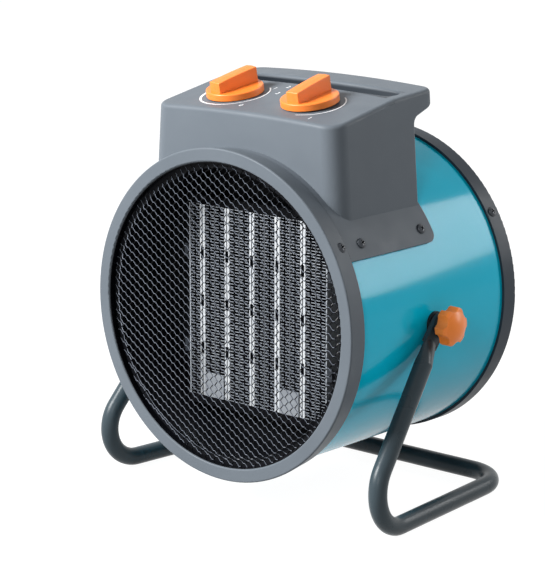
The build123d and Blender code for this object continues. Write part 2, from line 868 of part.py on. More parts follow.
housing_top = housing_plan(housing_top_height, housing_half_width_top, 0, handle_back)
housing_foot = housing_plan(housing_foot_height, housing_half_width_foot, 0, handle_back)
above_panel = above_crown(panel_slope, housing_front, panel_front_height)
above_handle = above_crown(handle_slope, panel_back, panel_back_height)
with BuildPart() as control_housing:
    loft([housing_foot, housing_top], ruled=True)
    extrude(above_panel, amount=overall_depth, both=True, mode=Mode.SUBTRACT)
    extrude(above_handle, amount=overall_depth, both=True, mode=Mode.SUBTRACT)
    with BuildSketch(housing_side) as undercut:
        with BuildLine():
            Polyline(
                (housing_back, 0),
                (housing_back, handle_foot),
                (handle_back - handle_end_rounding, handle_foot + handle_end_rise),
                (handle_back + slot_margin, handle_foot + handle_end_rise + handle_end_rounding),
                (2 * handle_back, handle_foot + handle_end_rise + handle_end_rounding),
                (2 * handle_back, 0),
                close=True,
            )
        make_face()
        inner_corners = undercut.vertices().group_by(Axis.X)[0]
        fillet(inner_corners.sort_by(Axis.Y)[-1], handle_rounding)
        end_corner = undercut.vertices().filter_by_position(
            Axis.X, handle_back - handle_rounding, handle_back
        )
        fillet(end_corner, handle_end_rounding)
    extrude(amount=2 * housing_half_width_foot, both=True, mode=Mode.SUBTRACT)
    top_edges = control_housing.edges().filter_by(
        lambda edge: edge.center().Z > axis_height + handle_foot
        and abs(edge.tangent_at(0.5).Z) < steep_limit
    )
    outer_top = [
        edge
        for edge in top_edges
        if not (
            edge.length > housing_half_width_top
            and abs(edge.center().Y - front_y - panel_back) < top_rounding
        )
    ]
    fillet(outer_top, top_rounding)
    extrude(slot_outline(0), amount=-pocket_depth, mode=Mode.SUBTRACT)
    slot_rim = control_housing.edges().filter_by(
        lambda edge: edge.center().Z > axis_height + panel_back_height - slot_corner
        and abs(edge.center().X) < slot_half_length + slot_margin
        and abs(edge.tangent_at(0.5).Z) < steep_limit
        and edge.center().Y > front_y + slot_back - slot_margin
        and edge.center().Y < front_y + slot_back + slot_margin
    )
    fillet(slot_rim, slot_rounding)
    with BuildSketch(Plane.XY.offset(axis_height + handle_foot)):
        with Locations((gap_middle, front_y + (panel_back + handle_back) / 2)):
            Rectangle(gap_length, handle_back - panel_back)
    extrude(amount=-handle_foot, mode=Mode.SUBTRACT)
    add(saddle.part)
    with BuildSketch(front_plane(0)):
        Circle(seat_radius)
    extrude(amount=overall_depth, mode=Mode.SUBTRACT)
    add(control_space.part, mode=Mode.SUBTRACT)
    with BuildSketch(panel_plane(-1, 0), panel_plane(1, 0)):
        Circle(spindle_radius + spindle_gap)
        with GridLocations(panel_screw_spacing, 1, 2, 1):
            Circle(panel_screw_radius + screw_clearance)
    extrude(amount=2 * housing_wall, both=True, mode=Mode.SUBTRACT)
    with BuildSketch(panel_plane(-1, -panel_screw_sink), panel_plane(1, -panel_screw_sink)):
        with GridLocations(panel_screw_spacing, 1, 2, 1):
            Circle(panel_screw_head + screw_clearance)
    extrude(amount=housing_wall, mode=Mode.SUBTRACT)
    with BuildSketch(gland_plane):
        Circle(gland_radius + gland_clearance)
    extrude(amount=-2 * housing_wall, mode=Mode.SUBTRACT)
    with BuildSketch(*saddle_screw_planes):
        Circle(screw_head_radius + screw_clearance)
    extrude(amount=screw_head_height, mode=Mode.SUBTRACT)
    with Locations(*saddle_screw_planes):
        Hole(screw_radius + screw_clearance, screw_length)
finish(control_housing, "control_housing")

# ---------------------------------------------------------------- fasteners in the drum
def drum_screws(name, planes):
    """Screws with tapered heads that run inwards from planes on the drum."""
    with BuildPart() as screws:
        with BuildSketch(*planes):
            Circle(screw_radius)
        extrude(amount=-screw_length)
        with BuildSketch(*planes):
            Circle(screw_head_radius)
        extrude(amount=screw_head_height, taper=screw_head_taper)
    finish(screws, name)


drum_screws("front_ring_screws", front_screw_planes)
drum_screws("rear_ring_screws", rear_screw_planes)
drum_screws("saddle_screws", saddle_screw_planes)

with BuildPart() as baffle_rivets:
    with BuildSketch(*rivet_planes):
        Circle(rivet_radius)
    extrude(amount=-rivet_length)
    with BuildSketch(*rivet_planes):
        Circle(rivet_head)
    extrude(amount=rivet_head_height)
finish(baffle_rivets, "baffle_rivets")


# ---------------------------------------------------------------- controls
def control_body(name, side):
    """Switch or thermostat body hung from the ceiling under its knob."""
    ceiling = panel_plane(side, -ceiling_drop)
    with BuildPart() as body:
        with BuildSketch(ceiling):
            Rectangle(control_body_length, control_body_width)
        extrude(amount=-control_body_depth)
        with BuildSketch(ceiling):
            Circle(spindle_radius + running_clearance)
        extrude(amount=-spindle_reach, mode=Mode.SUBTRACT)
        with BuildSketch(ceiling):
            with GridLocations(panel_screw_spacing, 1, 2, 1):
                Circle(panel_screw_radius + screw_clearance)
        extrude(amount=-panel_screw_bite, mode=Mode.SUBTRACT)
    finish(body, name)


def spindle(name, side):
    """Shaft from inside the control body up into its knob."""
    with BuildPart() as shaft:
        with BuildSketch(panel_plane(side, spindle_rise)):
            Circle(spindle_radius)
        extrude(amount=running_clearance - spindle_rise - ceiling_drop - spindle_reach)
    finish(shaft, name)


def grip(base):
    """Raised grip across a knob, with an arched top that climbs to the rear."""
    top = base.offset(knob_skirt)
    reach = knob_radius - grip_inset
    section = Plane(origin=top.origin, x_dir=top.y_dir, z_dir=top.x_dir)
    with BuildPart() as bar:
        with BuildSketch(section):
            with BuildLine():
                Polyline(
                    (-reach, grip_front_height), (-reach, -knob_rounding),
                    (reach, -knob_rounding), (reach, grip_back_height),
                )
                ThreePointArc(
                    (-reach, grip_front_height),
                    (reach / 3, grip_middle_height),
                    (reach, grip_back_height),
                )
            make_face()
        extrude(amount=grip_half_width, both=True, taper=grip_taper)
        fillet(bar.edges().sort_by(Axis(top.origin, top.z_dir))[3:], grip_rounding)
    return bar.part


def knob(name, side, turn):
    """Disc knob with one raised grip across it, turned about its own spindle."""
    base = panel_plane(side, knob_lift, turn)
    with BuildPart() as dial:
        with BuildSketch(base):
            Circle(knob_radius)
        extrude(amount=knob_skirt)
        fillet(dial.edges().sort_by(Axis(base.origin, base.z_dir))[-1], knob_rounding)
        add(grip(base))
        with BuildSketch(base):
            Circle(spindle_radius + running_clearance)
        extrude(amount=spindle_rise - knob_lift, mode=Mode.SUBTRACT)
    finish(dial, name)


control_body("thermostat_body", -1)
control_body("mode_switch_body", 1)
spindle("thermostat_spindle", -1)
spindle("mode_switch_spindle", 1)
knob("thermostat_knob", -1, thermostat_turn)
knob("mode_knob", 1, 0)

with BuildPart() as panel_screws:
    for side in (-1, 1):
        with BuildSketch(panel_plane(side, -panel_screw_top)):
            with GridLocations(panel_screw_spacing, 1, 2, 1):
                Circle(panel_screw_head)
        extrude(amount=panel_screw_top - panel_screw_sink)
        with BuildSketch(panel_plane(side, -panel_screw_sink)):
            with GridLocations(panel_screw_spacing, 1, 2, 1):
                Circle(panel_screw_radius)
        extrude(amount=panel_screw_sink - ceiling_drop - panel_screw_bite)
finish(panel_screws, "panel_screws")

terminal_plane = Plane.XY.offset(axis_height + drum_radius + terminal_height)
terminal_middle = front_y + terminal_back - terminal_width / 2
with BuildPart() as terminal_block:
    with BuildSketch(terminal_plane):
        with Locations((0, terminal_middle)):
            Rectangle(terminal_length, terminal_width)
    extrude(amount=-terminal_height - drum_wall)
    with BuildSketch(front_plane(0)):
        Circle(drum_radius + terminal_clearance)
    extrude(amount=overall_depth, mode=Mode.SUBTRACT)
    with BuildSketch(terminal_plane):
        with Locations((0, terminal_middle)):
            with GridLocations(terminal_length / terminal_ways, terminal_width / 2, terminal_ways, 2):
                Circle(terminal_well)
    extrude(amount=-terminal_well_depth, mode=Mode.SUBTRACT)
finish(terminal_block, "terminal_block")

# ---------------------------------------------------------------- cable inlet
gland_face = gland_plane.offset(gland_nut_thickness)
with BuildPart() as cable_gland_body:
    with BuildSketch(gland_plane):
        RegularPolygon(gland_nut_radius, 6)
    extrude(amount=gland_nut_thickness)
    with BuildSketch(gland_face):
        Circle(gland_stub_radius)
    extrude(amount=gland_stub_length)
    with BuildSketch(gland_plane):
        Circle(gland_radius)
    extrude(amount=-gland_inner_length)
    with BuildSketch(gland_face.offset(gland_stub_length)):
        Circle(gland_bore)
    extrude(amount=-overall_depth, mode=Mode.SUBTRACT)
finish(cable_gland_body, "cable_gland_body")

with BuildPart() as cable_gland_cap:
    with BuildSketch(gland_face):
        Circle(gland_cap_radius)
    extrude(amount=gland_dome_length)
    fillet(cable_gland_cap.edges().group_by(Axis.Y)[-1], gland_rounding)
    with BuildSketch(gland_face):
        Circle(gland_stub_radius + seat_clearance)
    extrude(amount=gland_stub_length, mode=Mode.SUBTRACT)
    with BuildSketch(gland_face):
        Circle(gland_bore + gland_seal_wall)
    extrude(amount=gland_stub_length + gland_seal_length, mode=Mode.SUBTRACT)
    with BuildSketch(gland_face):
        Circle(gland_bore)
    extrude(amount=gland_dome_length, mode=Mode.SUBTRACT)
finish(cable_gland_cap, "cable_gland_cap")

with BuildPart() as cable_gland_seal:
    with BuildSketch(gland_face.offset(gland_stub_length)):
        Circle(gland_bore + gland_seal_wall)
        Circle(gland_bore, mode=Mode.SUBTRACT)
    extrude(amount=gland_seal_length)
finish(cable_gland_seal, "cable_gland_seal")

with BuildPart() as cable_gland_nut:
    with BuildSketch(gland_plane.offset(-housing_wall)):
        RegularPolygon(gland_nut_radius, 6)
        Circle(gland_radius + seat_clearance, mode=Mode.SUBTRACT)
    extrude(amount=-gland_nut_thickness)
finish(cable_gland_nut, "cable_gland_nut")

# ---------------------------------------------------------------- stand
# each leg runs from its pivot down to a front corner; the corners and the ends all mirror in X = 0
paddle_x = drum_radius + paddle_standoff
foot_back_depth = overall_depth - foot_back_inset
front_corner = (foot_front_x, front_y + foot_front_depth, tube_radius)
back_corner = (foot_back_x, front_y + foot_back_depth, tube_radius)
leg_vector = Vector(*front_corner) - Vector(paddle_x, pivot_y, pivot_height)
leg_run = leg_vector.normalized()
leg_start = Vector(paddle_x, pivot_y, pivot_height) + leg_run * (paddle_length + paddle_blend)
paddle_run = Vector(0, leg_run.Y, leg_run.Z).normalized()
paddle_end = Vector(paddle_x, pivot_y, pivot_height) + paddle_run * (paddle_length - paddle_overlap)


def mirrored(point):
    """The same point on the other side of the heater."""
    return (-point[0], point[1], point[2])


leg_top = tuple(leg_start)
with BuildPart() as stand_frame:
    with BuildLine():
        frame_path = FilletPolyline(
            leg_top,
            front_corner,
            back_corner,
            mirrored(back_corner),
            mirrored(front_corner),
            mirrored(leg_top),
            radius=[front_bend_radius, back_bend_radius, back_bend_radius, front_bend_radius],
        )
    with BuildSketch(Plane(origin=leg_top, x_dir=(1, 0, 0), z_dir=tuple(leg_run))):
        Circle(tube_radius)
    sweep()
    for side in (-1, 1):
        outward = Vector(side, 0, 0)
        tube_end = Vector(side * leg_start.X, leg_start.Y, leg_start.Z)
        tube_run = Vector(side * leg_run.X, leg_run.Y, leg_run.Z)
        flat_end = Vector(side * paddle_end.X, paddle_end.Y, paddle_end.Z)
        with BuildSketch(Plane(origin=tube_end, x_dir=(1, 0, 0), z_dir=tube_run)) as round_end:
            Circle(tube_radius)
        with BuildSketch(Plane(origin=flat_end, x_dir=(1, 0, 0), z_dir=paddle_run)) as flat_start:
            Ellipse(paddle_thickness / 2, paddle_width / 2)
        loft([flat_start.sketch, round_end.sketch])
        paddle_plane = Plane(
            origin=(side * (paddle_x - paddle_thickness / 2), pivot_y, pivot_height),
            x_dir=tuple(paddle_run),
            z_dir=tuple(outward),
        )
        with BuildSketch(paddle_plane):
            Circle(paddle_width / 2)
            with Locations((paddle_length / 2, 0)):
                Rectangle(paddle_length, paddle_width)
        extrude(amount=paddle_thickness)
        with BuildSketch(paddle_plane):
            Circle(stud_radius + stud_clearance)
        extrude(amount=paddle_thickness, mode=Mode.SUBTRACT)
finish(stand_frame, "stand_frame")

# ---------------------------------------------------------------- pivots and clamps
spacer_face = paddle_x - paddle_thickness / 2 - clamp_gap
washer_face = paddle_x + paddle_thickness / 2 + clamp_gap
star_face = washer_face + washer_thickness
star_front = star_face + star_depth
stud_inner_x = drum_radius - stud_inset
pivot_axis = Axis((0, pivot_y, pivot_height), (1, 0, 0))
with BuildPart() as rivet_nuts:
    for side in (-1, 1):
        with BuildSketch(pivot_plane(side, drum_radius)):
            Circle(rivet_nut_head)
        extrude(amount=rivet_nut_head_thickness)
        with BuildSketch(pivot_plane(side, drum_radius)):
            Circle(rivet_nut_radius)
        extrude(amount=-rivet_nut_length)
        with BuildSketch(pivot_plane(side, drum_radius)):
            Circle(stud_radius + stud_clearance)
        extrude(amount=rivet_nut_length, both=True, mode=Mode.SUBTRACT)
finish(rivet_nuts, "rivet_nuts")

with BuildPart() as pivot_spacers:
    for side in (-1, 1):
        with BuildSketch(pivot_plane(side, spacer_face)):
            Circle(spacer_radius)
            Circle(stud_radius + screw_clearance, mode=Mode.SUBTRACT)
        extrude(amount=drum_radius - drum_wall - spacer_face)
        with BuildSketch(pivot_plane(side, drum_radius + rivet_nut_head_thickness)):
            Circle(rivet_nut_head + screw_clearance)
        extrude(amount=-rivet_nut_length, mode=Mode.SUBTRACT)
    with BuildSketch(front_plane(0)):
        Circle(drum_radius)
    extrude(amount=overall_depth, mode=Mode.SUBTRACT)
finish(pivot_spacers, "pivot_spacers")


def pivot_section(side):
    """Half section through the pivot line, first coordinate outwards from the middle."""
    return Plane(origin=(0, pivot_y, pivot_height), x_dir=(side, 0, 0), z_dir=(0, 1, 0))


def clamp(side_name, side):
    """Washer, stud and star knob that hold the drum at one side of the stand."""
    with BuildPart() as washer:
        with BuildSketch(pivot_plane(side, washer_face)):
            Circle(washer_radius)
            Circle(stud_radius + screw_clearance, mode=Mode.SUBTRACT)
        extrude(amount=washer_thickness)
    finish(washer, f"{side_name}_clamp_washer")
    with BuildPart() as stud:
        with BuildSketch(pivot_plane(side, stud_inner_x)):
            Circle(stud_radius)
        extrude(amount=star_face + stud_bite - stud_inner_x)
    finish(stud, f"{side_name}_clamp_stud")
    with BuildPart() as star:
        with BuildSketch(pivot_plane(side, star_face)) as lobes:
            Circle(star_radius)
            with PolarLocations(
                star_valley + star_flute, star_lobes, start_angle=star_turn + 180 / star_lobes
            ):
                Circle(star_flute, mode=Mode.SUBTRACT)
            fillet(lobes.vertices(), star_tip_rounding)
        extrude(amount=star_depth + star_dome)
        with BuildSketch(pivot_section(side)):
            with BuildLine():
                outside = star_radius + star_margin
                rim = outside - star_rim_rounding
                rim_cut = star_rim_rounding * (1 - sin(radians(45)))
                dome_radius = (rim**2 + star_dome**2) / (2 * star_dome)
                dome_fall = dome_radius - sqrt(dome_radius**2 - (rim / 2) ** 2)
                Polyline(
                    (star_front + star_dome, 0),
                    (star_face, 0),
                    (star_face, star_radius - star_back_rounding),
                    (star_face + star_back_rounding + star_margin, outside),
                    (star_front - star_rim_rounding, outside),
                )
                ThreePointArc(
                    (star_front - star_rim_rounding, outside),
                    (star_front - rim_cut, outside - rim_cut),
                    (star_front, rim),
                )
                ThreePointArc(
                    (star_front, rim),
                    (star_front + star_dome - dome_fall, rim / 2),
                    (star_front + star_dome, 0),
                )
            make_face()
        revolve(axis=pivot_axis, mode=Mode.INTERSECT)
        with BuildSketch(pivot_plane(side, star_face)):
            Circle(stud_radius)
        extrude(amount=stud_bite, mode=Mode.SUBTRACT)
    finish(star, f"{side_name}_star_knob")


clamp("left", -1)
clamp("right", 1)
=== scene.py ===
"""Round forced air heater: materials, fine detail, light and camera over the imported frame.

Lengths are millimetres in the drum's own frame: X across, depth behind the front ring's face, and
height above the drum's axis. at() turns them into Blender's metres.
"""

import json
import math

import bpy
import bmesh
from mathutils import Matrix, Vector


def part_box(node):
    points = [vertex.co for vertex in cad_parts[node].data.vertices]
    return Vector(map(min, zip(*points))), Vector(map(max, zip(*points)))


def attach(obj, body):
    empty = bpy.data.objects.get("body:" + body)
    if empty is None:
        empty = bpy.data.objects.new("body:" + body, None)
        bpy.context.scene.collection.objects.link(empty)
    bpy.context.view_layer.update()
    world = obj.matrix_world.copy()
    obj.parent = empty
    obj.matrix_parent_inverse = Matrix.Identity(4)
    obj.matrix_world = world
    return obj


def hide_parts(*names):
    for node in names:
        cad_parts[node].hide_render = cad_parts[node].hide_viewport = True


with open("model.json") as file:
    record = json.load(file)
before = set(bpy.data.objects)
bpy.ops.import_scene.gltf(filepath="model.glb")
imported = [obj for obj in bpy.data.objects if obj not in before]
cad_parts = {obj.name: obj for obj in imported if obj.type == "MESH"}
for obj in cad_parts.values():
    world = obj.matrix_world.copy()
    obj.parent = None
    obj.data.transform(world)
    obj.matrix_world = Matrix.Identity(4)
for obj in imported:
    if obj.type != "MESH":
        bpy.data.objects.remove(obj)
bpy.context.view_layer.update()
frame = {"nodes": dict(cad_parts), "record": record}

MM = 0.001

# ---------------------------------------------------------------- places read from the frame
ring_low, ring_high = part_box("front_ring")
FRONT = ring_low.y
AXIS = (ring_low.z + ring_high.z) / 2
element_low, element_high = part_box("element_dividers")
ELEMENT_FRONT = (element_low.y - FRONT) / MM
ELEMENT_DEPTH = (element_high.y - element_low.y) / MM
ELEMENT_FOOT = (element_low.z - AXIS) / MM
ELEMENT_TOP = (element_high.z - AXIS) / MM


def at(x, depth, height):
    """Point from millimetres across, behind the front ring's face and above the drum's axis."""
    return Vector((x * MM, FRONT + depth * MM, AXIS + height * MM))


# ---------------------------------------------------------------- colours and shader nodes
def srgb(red, green, blue):
    """Linear colour with alpha from an 8-bit screen colour."""
    def linear(value):
        value /= 255
        return value / 12.92 if value <= 0.04045 else ((value + 0.055) / 1.055) ** 2.4
    return (linear(red), linear(green), linear(blue), 1.0)


def grey(value):
    """Linear grey with alpha."""
    return (value, value, value, 1.0)


def combined(tree, operation, values):
    """One value from several, joined by a row of maths nodes."""
    result = values[0]
    for value in values[1:]:
        node = tree.nodes.new("ShaderNodeMath")
        node.operation = operation
        tree.links.new(result, node.inputs[0])
        tree.links.new(value, node.inputs[1])
        result = node.outputs[0]
    return result


class Surface:
    """Node material, with short ways to mottle its colour and gloss and to give it a bump."""

    def __init__(self, name, roughness, metallic=0.0):
        self.material = bpy.data.materials.new(name)
        self.material.use_nodes = True
        self.tree = self.material.node_tree
        self.shader = self.tree.nodes["Principled BSDF"]
        self.place = self.node("ShaderNodeTexCoord").outputs["Object"]
        self.uniform(Roughness=roughness, Metallic=metallic)

    def uniform(self, **inputs):
        """Sets values that are the same all over, on the shader's own sockets."""
        for key, value in inputs.items():
            self.shader.inputs[key.replace("_", " ")].default_value = value

    def node(self, kind, **inputs):
        """New node with values for its sockets."""
        made = self.tree.nodes.new(kind)
        for key, value in inputs.items():
            made.inputs[key.replace("_", " ")].default_value = value
        return made

    def noise(self, scale, detail=3.0, stretch=None):
        """Cloudy value over the object's own coordinates, which are in metres."""
        texture = self.node("ShaderNodeTexNoise", Scale=scale, Detail=detail)
        place = self.place
        if stretch:
            mapping = self.node("ShaderNodeMapping", Scale=stretch)
            self.tree.links.new(place, mapping.inputs["Vector"])
            place = mapping.outputs["Vector"]
        self.tree.links.new(place, texture.inputs["Vector"])
        return texture.outputs["Fac"]

    def span(self, value, low, high, from_low=0.3, from_high=0.7):
        """Value carried over from one span to another and held at its ends."""
        node = self.node(
            "ShaderNodeMapRange", From_Min=from_low, From_Max=from_high, To_Min=low, To_Max=high
        )
        self.tree.links.new(value, node.inputs["Value"])
        return node.outputs["Result"]

    def mix(self, factor, first, second):
        """Colour between two others, each a colour or the output of a node."""
        node = self.node("ShaderNodeMix")
        node.data_type = "RGBA"
        sockets = {socket.name: socket for socket in node.inputs if socket.type == "RGBA"}
        for key, value in (("A", first), ("B", second)):
            if isinstance(value, tuple):
                sockets[key].default_value = value
            else:
                self.tree.links.new(value, sockets[key])
        self.tree.links.new(factor, node.inputs[0])
        return next(socket for socket in node.outputs if socket.type == "RGBA")

    def colour(self, value):
        self.tree.links.new(value, self.shader.inputs["Base Color"])

    def rough(self, value):
        self.tree.links.new(value, self.shader.inputs["Roughness"])

    def bump(self, height, distance):
        node = self.node("ShaderNodeBump", Strength=1.0, Distance=distance)
        self.tree.links.new(height, node.inputs["Height"])
        self.tree.links.new(node.outputs["Normal"], self.shader.inputs["Normal"])

    def axes(self):
        """The object's own coordinates one by one, in metres."""
        split = self.node("ShaderNodeSeparateXYZ")
        self.tree.links.new(self.place, split.inputs["Vector"])
        return [split.outputs[axis] for axis in "XYZ"]

    def paint_over(self, mask, colour):
        """Lays a colour over the one that is there, as far as the mask says."""
        painted = self.shader.inputs["Base Color"].links[0].from_socket
        self.colour(self.mix(mask, painted, colour))


CLOUD_SCALE = 18.0
GLOSS_SCALE = 60.0
GLOSS_SPREAD = 0.05


def mottled(name, base, worn, roughness, metallic=0.0, grain=900.0, depth=0.00003, shine=0.5):
    """Surface with cloudy colour, uneven gloss and a fine grain, its depth in metres."""
    surface = Surface(name, roughness, metallic)
    surface.uniform(Specular_IOR_Level=shine)
    clouds = surface.span(surface.noise(CLOUD_SCALE, detail=4.0), 0.0, 1.0)
    surface.colour(surface.mix(clouds, base, worn))
    gloss = surface.noise(GLOSS_SCALE)
    surface.rough(surface.span(gloss, roughness - GLOSS_SPREAD, roughness + GLOSS_SPREAD))
    surface.bump(surface.noise(grain, detail=2.0), depth)
    return surface


# ---------------------------------------------------------------- materials
def drum_enamel():
    """Turquoise enamel with a thin coat over it and a faint orange peel."""
    surface = Surface("turquoise_paint", roughness=0.22)
    surface.uniform(Specular_IOR_Level=0.05, Coat_Weight=0.28, Coat_Roughness=0.1)
    clouds = surface.span(surface.noise(scale=9.0), 0.0, 1.0)
    surface.colour(surface.mix(clouds, srgb(2, 188, 219), srgb(6, 194, 225)))
    surface.rough(surface.span(surface.noise(scale=40.0, detail=4.0), low=0.18, high=0.27))
    surface.bump(surface.noise(scale=260.0, detail=2.0), distance=0.00004)
    return surface


def drawn_aluminium():
    """Bar metal with fine marks along its length."""
    surface = Surface("bar_aluminium", roughness=0.4, metallic=0.85)
    clouds = surface.span(surface.noise(scale=120.0), 0.0, 1.0)
    surface.colour(surface.mix(clouds, srgb(210, 216, 222), srgb(235, 239, 242)))
    marks = surface.noise(scale=900.0, detail=2.0, stretch=(1.0, 1.0, 0.03))
    surface.rough(surface.span(marks, low=0.3, high=0.5))
    surface.bump(marks, distance=0.00003)
    return surface


turquoise = drum_enamel()
bar_aluminium = drawn_aluminium()

# moulded plastics and rubber
ring_grey = mottled(
    "ring_plastic", srgb(90, 97, 104), srgb(95, 102, 109), roughness=0.42, grain=1400.0, shine=0.12
)
housing_grey = mottled(
    "housing_plastic", srgb(93, 100, 107), srgb(98, 105, 112),
    roughness=0.45, grain=1400.0, shine=0.12,
)
rear_grey = mottled(
    "rear_ring_plastic", srgb(46, 55, 64), srgb(52, 61, 70), roughness=0.4, grain=1400.0, shine=0.15
)
# the star knobs' orange: a brighter copy of the orange below, painted light that makes up for the
# dimmer light falling on them
star_orange_painted_light = mottled(
    "star_plastic_painted_light", srgb(254, 134, 48), srgb(255, 141, 54), roughness=0.4, grain=1200.0, shine=0.4
)
orange = mottled(
    "orange_plastic", srgb(232, 121, 40), srgb(237, 127, 45), roughness=0.4, grain=1200.0
)
orange.uniform(
    Subsurface_Weight=0.06, Subsurface_Radius=(0.004, 0.0015, 0.0008), Subsurface_Scale=1.0
)
black_plastic = mottled(
    "black_plastic", srgb(16, 17, 19), srgb(22, 23, 26), roughness=0.45, grain=1500.0, shine=0.3
)
matt_black = mottled(
    "matt_black", srgb(6, 7, 10), srgb(10, 11, 15), roughness=0.7, grain=1500.0, shine=0.05
)
rubber = mottled("seal_rubber", srgb(20, 20, 21), srgb(28, 28, 29), roughness=0.75)

# painted and dark metal
stand_paint = mottled(
    "stand_paint", srgb(50, 61, 67), srgb(56, 67, 73), roughness=0.3, grain=500.0, shine=0.18
)
mesh_paint = mottled(
    "mesh_paint", srgb(5, 6, 10), srgb(8, 9, 13),
    roughness=0.16, grain=2500.0, depth=0.00001, shine=0.12,
)
# paler finish on the strands' facets that face the light: a painted highlight
mesh_painted_highlight = mottled(
    "mesh_painted_highlight", srgb(90, 96, 106), srgb(102, 108, 118),
    roughness=0.4, grain=2500.0, depth=0.00001, shine=0.2,
)
grille_paint = mottled(
    "grille_paint", srgb(14, 15, 17), srgb(20, 21, 24), roughness=0.45, grain=1500.0, shine=0.25
)
duct_steel = mottled(
    "duct_steel", srgb(7, 8, 12), srgb(11, 13, 17), roughness=0.55, grain=700.0, shine=0.08
)

# bare metal
steel = mottled(
    "bare_steel", srgb(150, 152, 156), srgb(172, 174, 178),
    roughness=0.35, metallic=1.0, grain=800.0,
)
screw_steel = mottled(
    "screw_steel", srgb(40, 45, 52), srgb(52, 57, 64), roughness=0.28, metallic=0.3, grain=1500.0
)
brass = mottled("brass", srgb(190, 160, 92), srgb(205, 176, 108), roughness=0.35, metallic=1.0)

# heating element
fin_edge = mottled(
    "fin_edge", srgb(150, 157, 166), srgb(184, 190, 197), roughness=0.4, metallic=0.7, grain=1200.0
)
# near-black finish for the strips' sheets and turns behind their front edges: painted shade
fin_sheet_painted_shade = mottled("fin_sheet_painted_shade", srgb(9, 11, 15), srgb(14, 16, 21), roughness=0.7, shine=0.05)
fin_aluminium = mottled(
    "fin_aluminium", srgb(26, 29, 34), srgb(44, 48, 54), roughness=0.5, metallic=0.3
)
plate_edge = mottled(
    "plate_edge", srgb(150, 156, 163), srgb(178, 184, 190), roughness=0.5, metallic=0.3
)
divider_edge = mottled(
    "divider_edge", srgb(92, 97, 104), srgb(118, 123, 130), roughness=0.5, metallic=0.3
)
pale_ceramic = mottled("pale_ceramic", srgb(116, 121, 128), srgb(146, 151, 157), roughness=0.6)

# grooves and recesses, dark for the insulation seen down the bars' grooves and as painted shade
# on the grooves' walls and in the screws' cross recesses; and the print on the panel
painted_shade_and_insulation = mottled("painted_shade_and_insulation", srgb(16, 19, 24), srgb(24, 28, 34), roughness=0.6, shine=0.08)
print_white = mottled(
    "dial_print", srgb(225, 228, 230), srgb(240, 242, 243), roughness=0.5, grain=1500.0
)

# how far the pale edges reach past the fins, and how soon they turn dark there
PLATE_REACH = 1.0
PLATE_FADE = 0.1


def darken_clips(surface):
    """Keeps the clips beside the fins dark, so that only the side plates' own edges are pale."""
    across = surface.axes()[0]
    low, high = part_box("ptc_fins")
    left = low.x - PLATE_REACH * MM
    right = high.x + PLATE_REACH * MM
    fade = PLATE_FADE * MM
    for clip in (
        surface.span(across, 1.0, 0.0, left - fade, left),
        surface.span(across, 0.0, 1.0, right, right + fade),
    ):
        surface.paint_over(clip, srgb(34, 40, 48))


# the shaded room round the opening, the heights between which the shade ends upward, and how
# softly it ends to the sides and in depth
SHADE_HALF_WIDTH = 73.0
SHADE_FRONT = 84.9
SHADE_BACK = 105.8
SHADE_FULL_HEIGHT = 146.6
SHADE_END_HEIGHT = 149.2
SHADE_SIDE_FADE = 1.0
SHADE_DEPTH_FADE = 0.3
# how far the shade covers the paint, up to a place on the left and from a place on the right
LEFT_PLACE, LEFT_COVER = -50.0, 0.97
RIGHT_PLACE, RIGHT_COVER = 60.0, 0.72


def shade_hand_opening(surface):
    """Darkens the walls of the opening behind the panel, more so to the left."""
    across, depth, height = surface.axes()
    low = at(-SHADE_HALF_WIDTH, SHADE_FRONT, SHADE_FULL_HEIGHT)
    high = at(SHADE_HALF_WIDTH, SHADE_BACK, SHADE_END_HEIGHT)
    side_fade = SHADE_SIDE_FADE * MM
    depth_fade = SHADE_DEPTH_FADE * MM
    inside = combined(surface.tree, "MULTIPLY", [
        surface.span(across, 0.0, 1.0, low.x - side_fade, low.x),
        surface.span(across, 1.0, 0.0, high.x, high.x + side_fade),
        surface.span(depth, 0.0, 1.0, low.y - depth_fade, low.y),
        surface.span(depth, 1.0, 0.0, high.y, high.y + depth_fade),
        surface.span(height, 1.0, 0.0, low.z, high.z),
        surface.span(across, LEFT_COVER, RIGHT_COVER, LEFT_PLACE * MM, RIGHT_PLACE * MM),
    ])
    surface.paint_over(inside, srgb(22, 28, 35))


darken_clips(plate_edge)
shade_hand_opening(housing_grey)

FINISH = {
    "drum_paint": turquoise,
    "ring_plastic": ring_grey,
    "housing_plastic": housing_grey,
    "orange_plastic": orange,
    "stand_paint": stand_paint,
    "grille_paint": grille_paint,
    "duct_steel": duct_steel,
    "fin_aluminium": fin_aluminium,
    "bar_aluminium": bar_aluminium,
    "black_plastic": black_plastic,
    "fan_aluminium": steel,
    "steel": steel,
    "screw_steel": screw_steel,
    "brass": brass,
    "seal_rubber": rubber,
    "pale_ceramic": pale_ceramic,
}
NODE_SLOT = {entry["node"]: entry["material_slot"] for entry in frame["record"]["subparts"]}
# nodes whose finish is not that of their slot
NODE_FINISH = {
    "rear_ring": rear_grey,
    "left_star_knob": star_orange_painted_light,
    "right_star_knob": star_orange_painted_light,
    "element_end_caps": matt_black,
    "element_side_plates": plate_edge,
    "element_dividers": divider_edge,
}
for node_name, node in frame["nodes"].items():
    finish = NODE_FINISH.get(node_name, FINISH[NODE_SLOT[node_name]])
    node.data.materials.clear()
    node.data.materials.append(finish.material)


# ---------------------------------------------------------------- mesh building
def shown(name, data):
    """New object in the scene for a mesh, a text, a lamp or a camera."""
    made = bpy.data.objects.new(name, data)
    bpy.context.scene.collection.objects.link(made)
    return made


